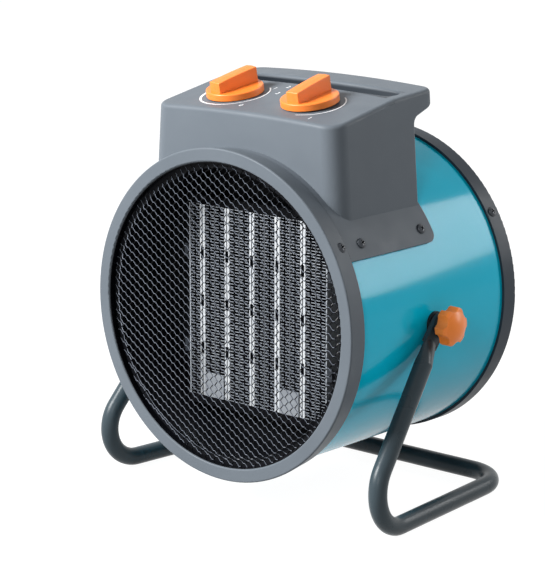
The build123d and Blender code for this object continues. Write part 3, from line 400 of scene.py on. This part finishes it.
def closed_object(name, mesh):
    """New object from a bmesh, its faces turned outward."""
    bmesh.ops.recalc_face_normals(mesh, faces=mesh.faces)
    data = bpy.data.meshes.new(name)
    mesh.to_mesh(data)
    mesh.free()
    return shown(name, data)


def evaluated_mesh(made):
    """Mesh of an object with its modifiers or its text worked out."""
    bpy.context.view_layer.update()
    evaluated = made.evaluated_get(bpy.context.evaluated_depsgraph_get())
    return bpy.data.meshes.new_from_object(evaluated)


class Parts:
    """Several shells gathered into one mesh, with a material slot for each face."""

    def __init__(self):
        self.points = []
        self.faces = []
        self.slots = []

    def add(self, points, faces, slots=None):
        start = len(self.points)
        self.points.extend(points)
        self.faces.extend([[start + index for index in face] for face in faces])
        self.slots.extend(slots or [0] * len(faces))

    def piece(self, name, surfaces, body, smooth=None):
        """Mesh piece that rides on a body, shaded smooth below an angle in degrees."""
        mesh = bpy.data.meshes.new(name)
        mesh.from_pydata([tuple(point) for point in self.points], [], self.faces)
        mesh.update()
        piece = shown(name, mesh)
        for surface in surfaces:
            mesh.materials.append(surface.material)
        mesh.polygons.foreach_set("material_index", self.slots)
        if smooth is not None:
            mesh.shade_smooth()
            mesh.set_sharp_from_angle(angle=math.radians(smooth))
        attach(piece, body)
        return piece


# ---------------------------------------------------------------- outlet mesh
# a cell: its height, half its width at the tips, and half the width of its level sides
CELL_PITCH = 5.84
CELL_WIDE = 3.38
CELL_BOND = 0.85
# a strand: its width, how far its ridge stands before the sheet, and how far its rear edges and
# its rear middle lie behind it
STRAND = 0.6
STRAND_RIDGE = 0.32
STRAND_BACK = 0.25
STRAND_REAR = 0.33
# a cell's sides are counted anticlockwise from the one above its right-hand tip: the strands'
# front facets at its lower left side and at its foot face the light, and a paler finish on them
# is a painted highlight
SIDE_STEPS = 2
PAINTED_HIGHLIGHT_SIDES = (3, 4)
# radius of the sheet and its depth behind the front of its node: flat in the middle and folded
# back at the rim
mesh_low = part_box("front_mesh")[0]
MESH_DEPTH = (mesh_low.y - FRONT) / MM
FOLD = [
    (0.0, 0.3), (96.6, 0.3), (97.9, 0.45), (98.9, 1.0), (99.5, 1.9), (100.3, 2.7), (101.4, 3.1),
    (103.0, 3.2), (108.0, 3.2),
]
# radius of the sheet's hem and its depth behind the ring's face, just inside the ring's opening
HEM = [(104.8, 0.9), (105.15, 0.9), (105.15, 5.5), (104.8, 5.5)]
HEM_STEPS = 180


def fold_lengths():
    """Distance along the folded profile at each of its points."""
    lengths = [0.0]
    for before, after in zip(FOLD, FOLD[1:]):
        lengths.append(lengths[-1] + math.dist(before, after))
    return lengths


LENGTHS = fold_lengths()


def on_fold(length, lift):
    """Radius and depth at a distance along the folded profile, moved forward off it by lift."""
    length = min(length, LENGTHS[-1])
    for index in range(len(FOLD) - 1):
        if length <= LENGTHS[index + 1]:
            break
    run = LENGTHS[index + 1] - LENGTHS[index]
    share = (length - LENGTHS[index]) / run
    (r0, d0), (r1, d1) = FOLD[index], FOLD[index + 1]
    radius = r0 + share * (r1 - r0) + (d1 - d0) / run * lift
    depth = d0 + share * (d1 - d0) - (r1 - r0) / run * lift
    return radius, MESH_DEPTH + depth


def cell_outline(x, z, inset):
    """Outline of a cell, brought in by the inset, in steps from its right-hand tip."""
    half = CELL_PITCH / 2
    slant = math.hypot(half, CELL_WIDE - CELL_BOND)
    tip = CELL_WIDE - inset * slant / half
    top = half - inset
    bond = CELL_WIDE - (inset * slant + (CELL_WIDE - CELL_BOND) * top) / half
    ends = [(tip, 0), (bond, top), (-bond, top), (-tip, 0), (-bond, -top), (bond, -top)]
    outline = []
    for first, second in zip(ends, ends[1:] + ends[:1]):
        for step in range(SIDE_STEPS):
            share = step / SIDE_STEPS
            outline.append((
                x + first[0] * (1 - share) + second[0] * share,
                z + first[1] * (1 - share) + second[1] * share,
            ))
    return outline


class FoldedSheet(Parts):
    """Honeycomb sheet laid over the folded profile, its points shared by neighbouring cells."""

    def __init__(self):
        super().__init__()
        self.index_of = {}

    def point(self, x, z, lift):
        """Index of the point that lies at x, z while the sheet is still flat."""
        key = (round(x, 3), round(z, 3), lift)
        if key not in self.index_of:
            radius, depth = on_fold(math.hypot(x, z), lift)
            turn = math.atan2(z, x)
            self.index_of[key] = len(self.points)
            self.points.append(at(radius * math.cos(turn), depth, radius * math.sin(turn)))
        return self.index_of[key]

    def cell(self, x, z):
        """The strands' halves round one cell, from their ridges over the hole to the rear."""
        rim = cell_outline(x, z, 0.0)
        hole = cell_outline(x, z, STRAND / 2)
        rows = [
            [self.point(*place, lift) for place in outline]
            for outline, lift in (
                (rim, STRAND_RIDGE), (hole, 0.0), (hole, -STRAND_BACK), (rim, -STRAND_REAR)
            )
        ]
        for index in range(len(rim)):
            after = (index + 1) % len(rim)
            for first, second in zip(rows, rows[1:]):
                self.faces.append([first[index], first[after], second[after], second[index]])
            # slot 1, the paler finish, is a painted highlight on the facets that face the light
            self.slots.extend([1 if index // SIDE_STEPS in PAINTED_HIGHLIGHT_SIDES else 0, 0, 0])

    def hem(self):
        """Closed band at the sheet's rim."""
        start = len(self.points)
        for radius, depth in HEM:
            for step in range(HEM_STEPS):
                turn = 2 * math.pi * step / HEM_STEPS
                self.points.append(at(radius * math.cos(turn), depth, radius * math.sin(turn)))
        for row in range(len(HEM)):
            this = start + row * HEM_STEPS
            other = start + (row + 1) % len(HEM) * HEM_STEPS
            for step in range(HEM_STEPS):
                after = (step + 1) % HEM_STEPS
                self.faces.append([this + step, this + after, other + after, other + step])
                self.slots.append(0)


def outlet_mesh():
    """Cells out to the rim with a hem round them, the strands closed at the outer border."""
    sheet = FoldedSheet()
    column_pitch = CELL_WIDE + CELL_BOND
    columns = int(LENGTHS[-1] / column_pitch) + 1
    rows = int(LENGTHS[-1] / CELL_PITCH) + 1
    for column in range(-columns, columns + 1):
        for row in range(-rows, rows + 1):
            x = column_pitch * column
            z = CELL_PITCH * (row + (column % 2) / 2)
            if math.hypot(x, z) <= LENGTHS[-1] - CELL_WIDE:
                sheet.cell(x, z)
    sheet.hem()
    mesh = bmesh.new()
    made = [mesh.verts.new(point) for point in sheet.points]
    for face, slot in zip(sheet.faces, sheet.slots):
        mesh.faces.new([made[index] for index in face]).material_index = slot
    open_edges = [edge for edge in mesh.edges if len(edge.link_faces) == 1]
    bmesh.ops.bridge_loops(mesh, edges=open_edges)
    piece = closed_object("outlet_mesh", mesh)
    piece.data.materials.append(mesh_paint.material)
    piece.data.materials.append(mesh_painted_highlight.material)
    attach(piece, "heater")
    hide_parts("front_mesh")


outlet_mesh()

# ---------------------------------------------------------------- heating element
# a fin strip: its pitch, its sheet, the slit between two strips, and how far it is set in
FIN_PITCH = 2.07
FIN_SHEET = 0.5
FIN_SLIT = 0.9
FIN_INSET = 0.1
DIVIDER = 0.45
BARS = 5
STONES = 4
STONE = (ELEMENT_TOP - ELEMENT_FOOT) / STONES
bar_low, bar_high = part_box("ptc_bars")


def element_lefts():
    """Left edges of the bars and of the fin columns, worked out from the boxes of the nodes."""
    divider_pitch = ((element_high.x - element_low.x) / MM - DIVIDER) / (BARS - 1)
    bar_width = (bar_high.x - bar_low.x) / MM - divider_pitch * (BARS - 1)
    fin_width = (divider_pitch - bar_width - DIVIDER) / 2
    first = bar_low.x / MM
    bars = [first + divider_pitch * number for number in range(BARS)]
    fins = [first - fin_width]
    for left in bars:
        fins.append(left + bar_width)
        fins.append(left + bar_width + fin_width + DIVIDER)
    return bars, bar_width, fins, fin_width


bar_lefts, BAR_WIDTH, fin_lefts, FIN_WIDTH = element_lefts()


def zigzag(left, width, flip):
    """Middle line of a folded strip from the foot up, its legs level."""
    half = FIN_SHEET / 2
    legs = int((ELEMENT_TOP - ELEMENT_FOOT) / FIN_PITCH)
    step = (ELEMENT_TOP - ELEMENT_FOOT - FIN_SHEET) / legs
    near, far = left + half, left + width - half
    line = []
    for leg in range(legs + 1):
        height = ELEMENT_FOOT + half + leg * step
        ends = (near, far) if (leg + flip) % 2 == 0 else (far, near)
        line.extend([(ends[0], height), (ends[1], height)])
    return line


def both_sides(line, half):
    """The line moved by half the sheet's thickness to one side and to the other."""
    upper = []
    lower = []
    for index, point in enumerate(line):
        before = line[max(index - 1, 0)]
        after = line[min(index + 1, len(line) - 1)]
        aside = Vector((0.0, 0.0))
        for start, end in ((before, point), (point, after)):
            run = Vector((end[0] - start[0], end[1] - start[1]))
            if run.length > 0:
                run.normalize()
                aside += Vector((-run.y, run.x)) * half
        upper.append((point[0] + aside.x, point[1] + aside.y))
        lower.append((point[0] - aside.x, point[1] - aside.y))
    return upper, lower


def corrugated(parts, left, width, flip):
    """One folded strip: the front edges of its legs in slot 0 and all the rest in slot 1,
    whose near-black finish is painted shade between the strips.
    """
    upper, lower = both_sides(zigzag(left, width, flip), FIN_SHEET / 2)
    count = len(upper)
    points = []
    for depth in (ELEMENT_FRONT + FIN_INSET, ELEMENT_FRONT + ELEMENT_DEPTH - FIN_INSET):
        points.extend(at(x, depth, z) for x, z in upper + lower)
    edges = []
    sheets = [
        [0, count, 3 * count, 2 * count], [count - 1, 3 * count - 1, 4 * count - 1, 2 * count - 1]
    ]
    for a in range(count - 1):
        b = a + 1
        (edges if a % 2 == 0 else sheets).append([a, b, count + b, count + a])
        sheets.append([2 * count + b, 2 * count + a, 3 * count + a, 3 * count + b])
        sheets.append([a, 2 * count + a, 2 * count + b, b])
        sheets.append([count + b, 3 * count + b, 3 * count + a, count + a])
    parts.add(points, edges + sheets, [0] * len(edges) + [1] * len(sheets))


def folded_fins():
    """Folded strips between the bars, two side by side in each column."""
    parts = Parts()
    width = (FIN_WIDTH - FIN_SLIT) / 2
    for number, left in enumerate(fin_lefts):
        corrugated(parts, left, width, number % 2)
        corrugated(parts, left + width + FIN_SLIT, width, (number + 1) % 2)
    piece = parts.piece("heating_fins", (fin_edge, fin_sheet_painted_shade), "heater")
    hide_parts("ptc_fins")


folded_fins()

# a bar: the groove down its front, the notch where two stones meet, and its bevelled edges
GROOVE = 0.75
GROOVE_DEPTH = 1.6
GROOVE_SLANT = 0.15
GROOVE_WALLS = (3, 4, 5)
NOTCH = 2.9
NOTCH_HALF = 4.2
BAR_EDGE = 0.25


def groove_bands():
    """Foot, top and groove width of each stretch of a bar, wider where two stones meet."""
    bands = []
    level = ELEMENT_FOOT
    for joint in range(1, STONES):
        middle = ELEMENT_FOOT + STONE * joint
        bands.append((level, middle - NOTCH_HALF, GROOVE))
        bands.append((middle - NOTCH_HALF, middle + NOTCH_HALF, NOTCH))
        level = middle + NOTCH_HALF
    bands.append((level, ELEMENT_TOP, GROOVE))
    return bands


def bar_outline(left, groove):
    """Bar seen from above, with bevelled front edges and a groove lined by GROOVE_WALLS."""
    right = left + BAR_WIDTH
    groove_left = left + BAR_WIDTH / 2 - groove / 2
    groove_right = left + BAR_WIDTH / 2 + groove / 2
    front = ELEMENT_FRONT
    floor = front + GROOVE_DEPTH
    back = front + ELEMENT_DEPTH
    return [
        (left, back), (left, front + BAR_EDGE), (left + BAR_EDGE, front), (groove_left, front),
        (groove_left + GROOVE_SLANT, floor), (groove_right - GROOVE_SLANT, floor),
        (groove_right, front), (right - BAR_EDGE, front), (right, front + BAR_EDGE), (right, back),
    ]


def heating_bars():
    """Bars with a groove down the front, its walls in slot 1: dark insulation and painted shade."""
    parts = Parts()
    for left in bar_lefts:
        for low, high, groove in groove_bands():
            outline = bar_outline(left, groove)
            count = len(outline)
            points = [at(x, depth, level) for level in (low, high) for x, depth in outline]
            faces = [list(reversed(range(count))), list(range(count, 2 * count))]
            slots = [0, 0]
            for index in range(count):
                after = (index + 1) % count
                faces.append([index, after, count + after, count + index])
                slots.append(1 if index in GROOVE_WALLS else 0)
            parts.add(points, faces, slots)
    piece = parts.piece("heating_bars", (bar_aluminium, painted_shade_and_insulation), "heater", smooth=30)
    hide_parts("ptc_bars")


heating_bars()

# ---------------------------------------------------------------- screws
# radius and height above the seat, from the tip of the shank to the top of the domed head
HEAD_RADIUS = 3.5
HEAD_HEIGHT = 2.17
SHANK = [(1.6, -9.0), (2.0, -8.8), (2.0, 0.0)]
HEAD = [
    (HEAD_RADIUS, 0.0), (HEAD_RADIUS, 0.55), (3.3, 1.05), (2.85, 1.5), (2.2, 1.85), (1.4, 2.08),
    (0.7, HEAD_HEIGHT),
]
ROUND_STEPS = 40
# the cutter of the recess: the reach of its arms, half their width and the height, at each end
CROSS_TOP = (2.3, 0.5, 2.6)
CROSS_FLOOR = (0.7, 0.25, HEAD_HEIGHT - 1.5)
# faces of the recess: how little their normals point along the screw, and how near they are to
# its middle
RECESS_NORMAL = 0.75
RECESS_REACH = 2.4
# turn of the first recess and from each one to the next, in degrees, so that no two look alike
FIRST_TURN = 20
NEXT_TURN = 37


def screw_blank():
    """Round-headed screw without its recess, pointing along -Z."""
    mesh = bmesh.new()
    turns = [2 * math.pi * step / ROUND_STEPS for step in range(ROUND_STEPS)]
    rows = [
        [mesh.verts.new((radius * math.cos(turn), radius * math.sin(turn), height)) for turn in turns]
        for radius, height in SHANK + HEAD
    ]
    for first, second in zip(rows, rows[1:]):
        for step in range(ROUND_STEPS):
            after = (step + 1) % ROUND_STEPS
            mesh.faces.new([first[step], first[after], second[after], second[step]])
    mesh.faces.new(list(reversed(rows[0])))
    mesh.faces.new(rows[-1])
    return closed_object("screw_master", mesh)


def cross_cutter():
    """Tapered cross that cuts the recess."""
    mesh = bmesh.new()

    def cross(reach, half, height):
        outline = [
            (half, half), (half, reach), (-half, reach), (-half, half), (-reach, half),
            (-reach, -half), (-half, -half), (-half, -reach), (half, -reach), (half, -half),
            (reach, -half), (reach, half),
        ]
        return [mesh.verts.new((x, y, height)) for x, y in outline]

    upper = cross(*CROSS_TOP)
    lower = cross(*CROSS_FLOOR)
    for index in range(len(upper)):
        after = (index + 1) % len(upper)
        mesh.faces.new([lower[index], lower[after], upper[after], upper[index]])
    mesh.faces.new(upper)
    mesh.faces.new(list(reversed(lower)))
    return closed_object("screw_cutter", mesh)


def cross_head():
    """Points, faces and slots of a screw with a cross recess, in millimetres from its seat."""
    blank = screw_blank()
    cutter = cross_cutter()
    cut = blank.modifiers.new("cross", "BOOLEAN")
    cut.operation = "DIFFERENCE"
    cut.solver = "EXACT"
    cut.object = cutter
    result = evaluated_mesh(blank)
    points = [vertex.co.copy() for vertex in result.vertices]
    faces = [list(face.vertices) for face in result.polygons]
    # slot 1, the recess walls, takes the dark finish as painted shade
    slots = [
        1 if abs(face.normal.z) < RECESS_NORMAL and face.center.xy.length < RECESS_REACH else 0
        for face in result.polygons
    ]
    bpy.data.objects.remove(blank)
    bpy.data.objects.remove(cutter)
    bpy.data.meshes.remove(result)
    return points, faces, slots


SCREW_POINTS, SCREW_FACES, SCREW_SLOTS = cross_head()


def detailed_screws(name, node, places):
    """Cross-headed screws in the places of a node's plain ones."""
    parts = Parts()
    for number, (origin, outward) in enumerate(places):
        turn = Matrix.Rotation(math.radians(NEXT_TURN * number + FIRST_TURN), 4, "Z")
        stand = outward.to_track_quat("Z", "Y").to_matrix().to_4x4()
        size = Matrix.Scale(MM, 4)
        matrix = Matrix.Translation(origin) @ stand @ turn @ size
        parts.add([matrix @ point for point in SCREW_POINTS], SCREW_FACES, SCREW_SLOTS)
    piece = parts.piece(name, (screw_steel, painted_shade_and_insulation), "heater", smooth=35)
    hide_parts(node)


RING_ANGLES = (31.5, 148.5, 270.0)
SADDLE_ANGLES = (31.5, 148.5)
SADDLE_SEAT = 112.25
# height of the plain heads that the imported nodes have
PLAIN_HEAD_HEIGHT = 2.2


def drum_place(angle, depth, radius):
    """Point round the drum's axis, and the direction outward there."""
    turn = math.radians(angle)
    outward = Vector((math.cos(turn), 0, math.sin(turn)))
    return at(radius * outward.x, depth, radius * outward.z), outward


def ring_places(node):
    """Seats of a ring's screws, read from their box, which the lowest screw's head closes below."""
    low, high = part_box(node)
    depth = ((low.y + high.y) / 2 - FRONT) / MM
    seat = (AXIS - low.z) / MM - PLAIN_HEAD_HEIGHT
    return [drum_place(angle, depth, seat) for angle in RING_ANGLES]


def saddle_places(node):
    """Seats of the saddle's screws, two to each side, their depths read from their box."""
    low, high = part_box(node)
    depths = ((low.y - FRONT) / MM + HEAD_RADIUS, (high.y - FRONT) / MM - HEAD_RADIUS)
    return [drum_place(angle, depth, SADDLE_SEAT) for angle in SADDLE_ANGLES for depth in depths]


detailed_screws("front_ring_cross_screws", "front_ring_screws", ring_places("front_ring_screws"))
detailed_screws("rear_ring_cross_screws", "rear_ring_screws", ring_places("rear_ring_screws"))
detailed_screws("saddle_cross_screws", "saddle_screws", saddle_places("saddle_screws"))

# ---------------------------------------------------------------- dial prints
# the panel: its slope, the radius of its crown, and the depth and height of its front edge
SLOPE = math.radians(10.5)
CROWN = 1300.0
PANEL_FRONT = 22.0
PANEL_FRONT_HEIGHT = 136.9
# the knobs' middles: behind the panel's front edge, and to each side of the heater's middle
KNOB_FROM_FRONT = 31.8
knob_low, knob_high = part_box("mode_knob")
KNOB_X = (knob_low.x + knob_high.x) / 2 / MM
# the print reaches from just under the panel's face to just above it
PRINT_FOOT = -0.03
PRINT_TOP = 0.05
# arcs: middle, start and end in degrees from +X, and thickness at the end
ARC_RADIUS = 23.6
ARC_THIN = 0.5
ARC_STEP = 3.0
ARCS = [
    (-KNOB_X, -40.0, -215.0, 2.4),
    (-KNOB_X, -40.0, 50.0, 1.3),
    (KNOB_X, -75.0, 55.0, 1.1),
]
# plain numbers and where they begin: across, and up the slope from the knobs' line
NUMBER_SIZE = 5.6
NUMBERS = [
    ("0", -12.2, -22.0),
    ("1", -14.8, 17.0),
    ("2", -7.0, 21.9),
    ("3", -5.0, 8.3),
    ("1", 51.9, -26.0),
]


def on_panel(across, up, lift):
    """Point on the crowned, sloping panel: across in X, up the slope from the knobs' line."""
    along = KNOB_FROM_FRONT / math.cos(SLOPE) + up
    sag = CROWN - math.sqrt(CROWN * CROWN - across * across)
    out = lift - sag
    depth = PANEL_FRONT + along * math.cos(SLOPE) - out * math.sin(SLOPE)
    height = PANEL_FRONT_HEIGHT + along * math.sin(SLOPE) + out * math.cos(SLOPE)
    return at(across, depth, height)


def printed_arc(parts, middle, start, end, thick):
    """Arc of print round a knob that grows thicker from its start to its end."""
    steps = int(abs(end - start) / ARC_STEP)
    inner = []
    outer = []
    for step in range(steps + 1):
        share = step / steps
        turn = math.radians(start + (end - start) * share)
        reach = ARC_RADIUS + ARC_THIN + (thick - ARC_THIN) * share
        inner.append((middle + ARC_RADIUS * math.cos(turn), ARC_RADIUS * math.sin(turn)))
        outer.append((middle + reach * math.cos(turn), reach * math.sin(turn)))
    count = steps + 1
    points = [on_panel(x, up, lift) for lift in (PRINT_FOOT, PRINT_TOP) for x, up in inner + outer]
    faces = []
    for a in range(steps):
        b = a + 1
        faces.append([a, b, count + b, count + a])
        faces.append([2 * count + a, 3 * count + a, 3 * count + b, 2 * count + b])
        faces.append([a, 2 * count + a, 2 * count + b, b])
        faces.append([count + a, count + b, 3 * count + b, 3 * count + a])
    faces.append([0, count, 3 * count, 2 * count])
    faces.append([count - 1, 3 * count - 1, 4 * count - 1, 2 * count - 1])
    parts.add(points, faces)


def printed_number(parts, text, across, up):
    """One plain number laid on the panel."""
    curve = bpy.data.curves.new("number", "FONT")
    curve.body = text
    curve.size = NUMBER_SIZE
    # its thickness only tells the upper points from the lower ones
    curve.extrude = 0.5
    curve.resolution_u = 2
    holder = shown("number", curve)
    flat = evaluated_mesh(holder)
    points = [
        on_panel(across + place.x, up + place.y, PRINT_TOP if place.z > 0 else PRINT_FOOT)
        for place in (vertex.co for vertex in flat.vertices)
    ]
    parts.add(points, [list(face.vertices) for face in flat.polygons])
    bpy.data.objects.remove(holder)
    bpy.data.meshes.remove(flat)


def dial_prints():
    """Arcs and plain numbers printed on the panel round the two knobs."""
    parts = Parts()
    for arc in ARCS:
        printed_arc(parts, *arc)
    for number in NUMBERS:
        printed_number(parts, *number)
    parts.piece("dial_prints", (print_white,), "heater")


dial_prints()

# ---------------------------------------------------------------- lamps, backdrop and floor
LAMPS = [
    # name, place, aimed point, width, height, roll in degrees, watts
    ("key", (-1000, -1500, 1350), (0, 60, 0), 900, 900, 0.0, 122.0),
    ("side_box", (921, 1383, 611), (-128, 344, -5), 1075, 420, 43.6, 11.8),
    ("mesh_light", (874, -1608, 806), (0, 0, 0), 350, 350, 0.0, 7.0),
]
FILL_STRENGTH = 0.17
BACKDROP_STRENGTH = 1.0
# the floor: two greys that light bounces off, and the grey and the glow that are seen
FLOOR_BOUNCE = (grey(0.24), grey(0.28))
FLOOR_GREY = grey(0.14)
FLOOR_GLOW = 0.97
# in metres: how far it reaches each way, and its height just under the stand's feet
FLOOR_REACH = 14.0
FLOOR_HEIGHT = -0.0002


def area_lamp(name, place, aim, width, height, roll, power):
    """Rectangular lamp that faces a point, turned about that direction by its roll."""
    data = bpy.data.lights.new(name, "AREA")
    data.shape = "RECTANGLE"
    data.size = width * MM
    data.size_y = height * MM
    data.energy = power
    lamp = shown(name, data)
    lamp.location = at(*place)
    facing = (at(*aim) - at(*place)).to_track_quat("-Z", "Y").to_matrix()
    lamp.rotation_euler = (facing @ Matrix.Rotation(math.radians(roll), 3, "Z")).to_euler()


def seen_rays(tree):
    """Value that is 1 on camera, glossy and transmission rays, which show the white backdrop."""
    path = tree.nodes.new("ShaderNodeLightPath")
    rays = ("Is Camera Ray", "Is Glossy Ray", "Is Transmission Ray")
    return combined(tree, "MAXIMUM", [path.outputs[ray] for ray in rays])


def mixed_shaders(tree, factor, first, second):
    """The first shader where the factor is 0, and the second where it is 1."""
    node = tree.nodes.new("ShaderNodeMixShader")
    for socket, value in zip(node.inputs, (factor, first, second)):
        tree.links.new(value, socket)
    return node.outputs[0]


def background(tree, strength):
    """White light of one strength from all round."""
    node = tree.nodes.new("ShaderNodeBackground")
    node.inputs["Color"].default_value = grey(1.0)
    node.inputs["Strength"].default_value = strength
    return node.outputs[0]


def studio_world():
    """Soft fill light, with a plain white backdrop on the rays that are seen."""
    world = bpy.data.worlds.new("studio")
    bpy.context.scene.world = world
    world.use_nodes = True
    tree = world.node_tree
    tree.nodes.clear()
    output = tree.nodes.new("ShaderNodeOutputWorld")
    fill = background(tree, FILL_STRENGTH)
    backdrop = background(tree, BACKDROP_STRENGTH)
    mixed = mixed_shaders(tree, seen_rays(tree), fill, backdrop)
    tree.links.new(mixed, output.inputs["Surface"])


def floor_finish():
    """Floor that is seen near white with the object's shadow, and bounces less light than that."""
    surface = Surface("pale_floor", roughness=0.8)
    clouds = surface.span(surface.noise(scale=3.0), 0.0, 1.0)
    surface.colour(surface.mix(clouds, *FLOOR_BOUNCE))
    tree = surface.tree
    plain = surface.node("ShaderNodeBsdfDiffuse", Color=FLOOR_GREY)
    glow = surface.node("ShaderNodeEmission", Color=grey(1.0), Strength=FLOOR_GLOW)
    both = surface.node("ShaderNodeAddShader")
    tree.links.new(plain.outputs[0], both.inputs[0])
    tree.links.new(glow.outputs[0], both.inputs[1])
    mixed = mixed_shaders(tree, seen_rays(tree), surface.shader.outputs[0], both.outputs[0])
    output = next(node for node in tree.nodes if node.type == "OUTPUT_MATERIAL")
    tree.links.new(mixed, output.inputs["Surface"])
    return surface


def studio_floor():
    """Wide level floor under the stand."""
    mesh = bpy.data.meshes.new("floor")
    corners = [(-1, -1), (1, -1), (1, 1), (-1, 1)]
    mesh.from_pydata(
        [(x * FLOOR_REACH, y * FLOOR_REACH, FLOOR_HEIGHT) for x, y in corners], [], [[0, 1, 2, 3]]
    )
    mesh.materials.append(floor_finish().material)
    floor_object = shown("floor", mesh)


for lamp_values in LAMPS:
    area_lamp(*lamp_values)
studio_world()
studio_floor()

# ---------------------------------------------------------------- camera
# fitted to the photograph: focal length and picture height in pixels, sensor in millimetres
FOCAL_PIXELS = 2500.0
PICTURE_HEIGHT = 568.0
SENSOR = 36.0
# degrees round to the right and up from straight in front, the point that it aims at, and the
# distance from it and the farthest view in metres
CAMERA_AZIMUTH = 41.19
CAMERA_ELEVATION = 12.78
CAMERA_AIM = (47.15, 0.0, 29.71)
CAMERA_DISTANCE = 1.6498
CAMERA_REACH = 60.0


def photo_camera():
    """Camera at the photograph's viewing angle."""
    data = bpy.data.cameras.new("camera")
    data.sensor_width = SENSOR
    data.lens = FOCAL_PIXELS / PICTURE_HEIGHT * SENSOR
    data.clip_end = CAMERA_REACH
    camera = shown("camera", data)
    azimuth = math.radians(CAMERA_AZIMUTH)
    elevation = math.radians(CAMERA_ELEVATION)
    forward = Vector((
        -math.sin(azimuth) * math.cos(elevation),
        math.cos(azimuth) * math.cos(elevation),
        -math.sin(elevation),
    ))
    camera.location = at(*CAMERA_AIM) - forward * CAMERA_DISTANCE
    camera.rotation_euler = forward.to_track_quat("-Z", "Y").to_euler()
    bpy.context.scene.camera = camera


photo_camera()
bpy.context.scene.view_settings.view_transform = "Standard"
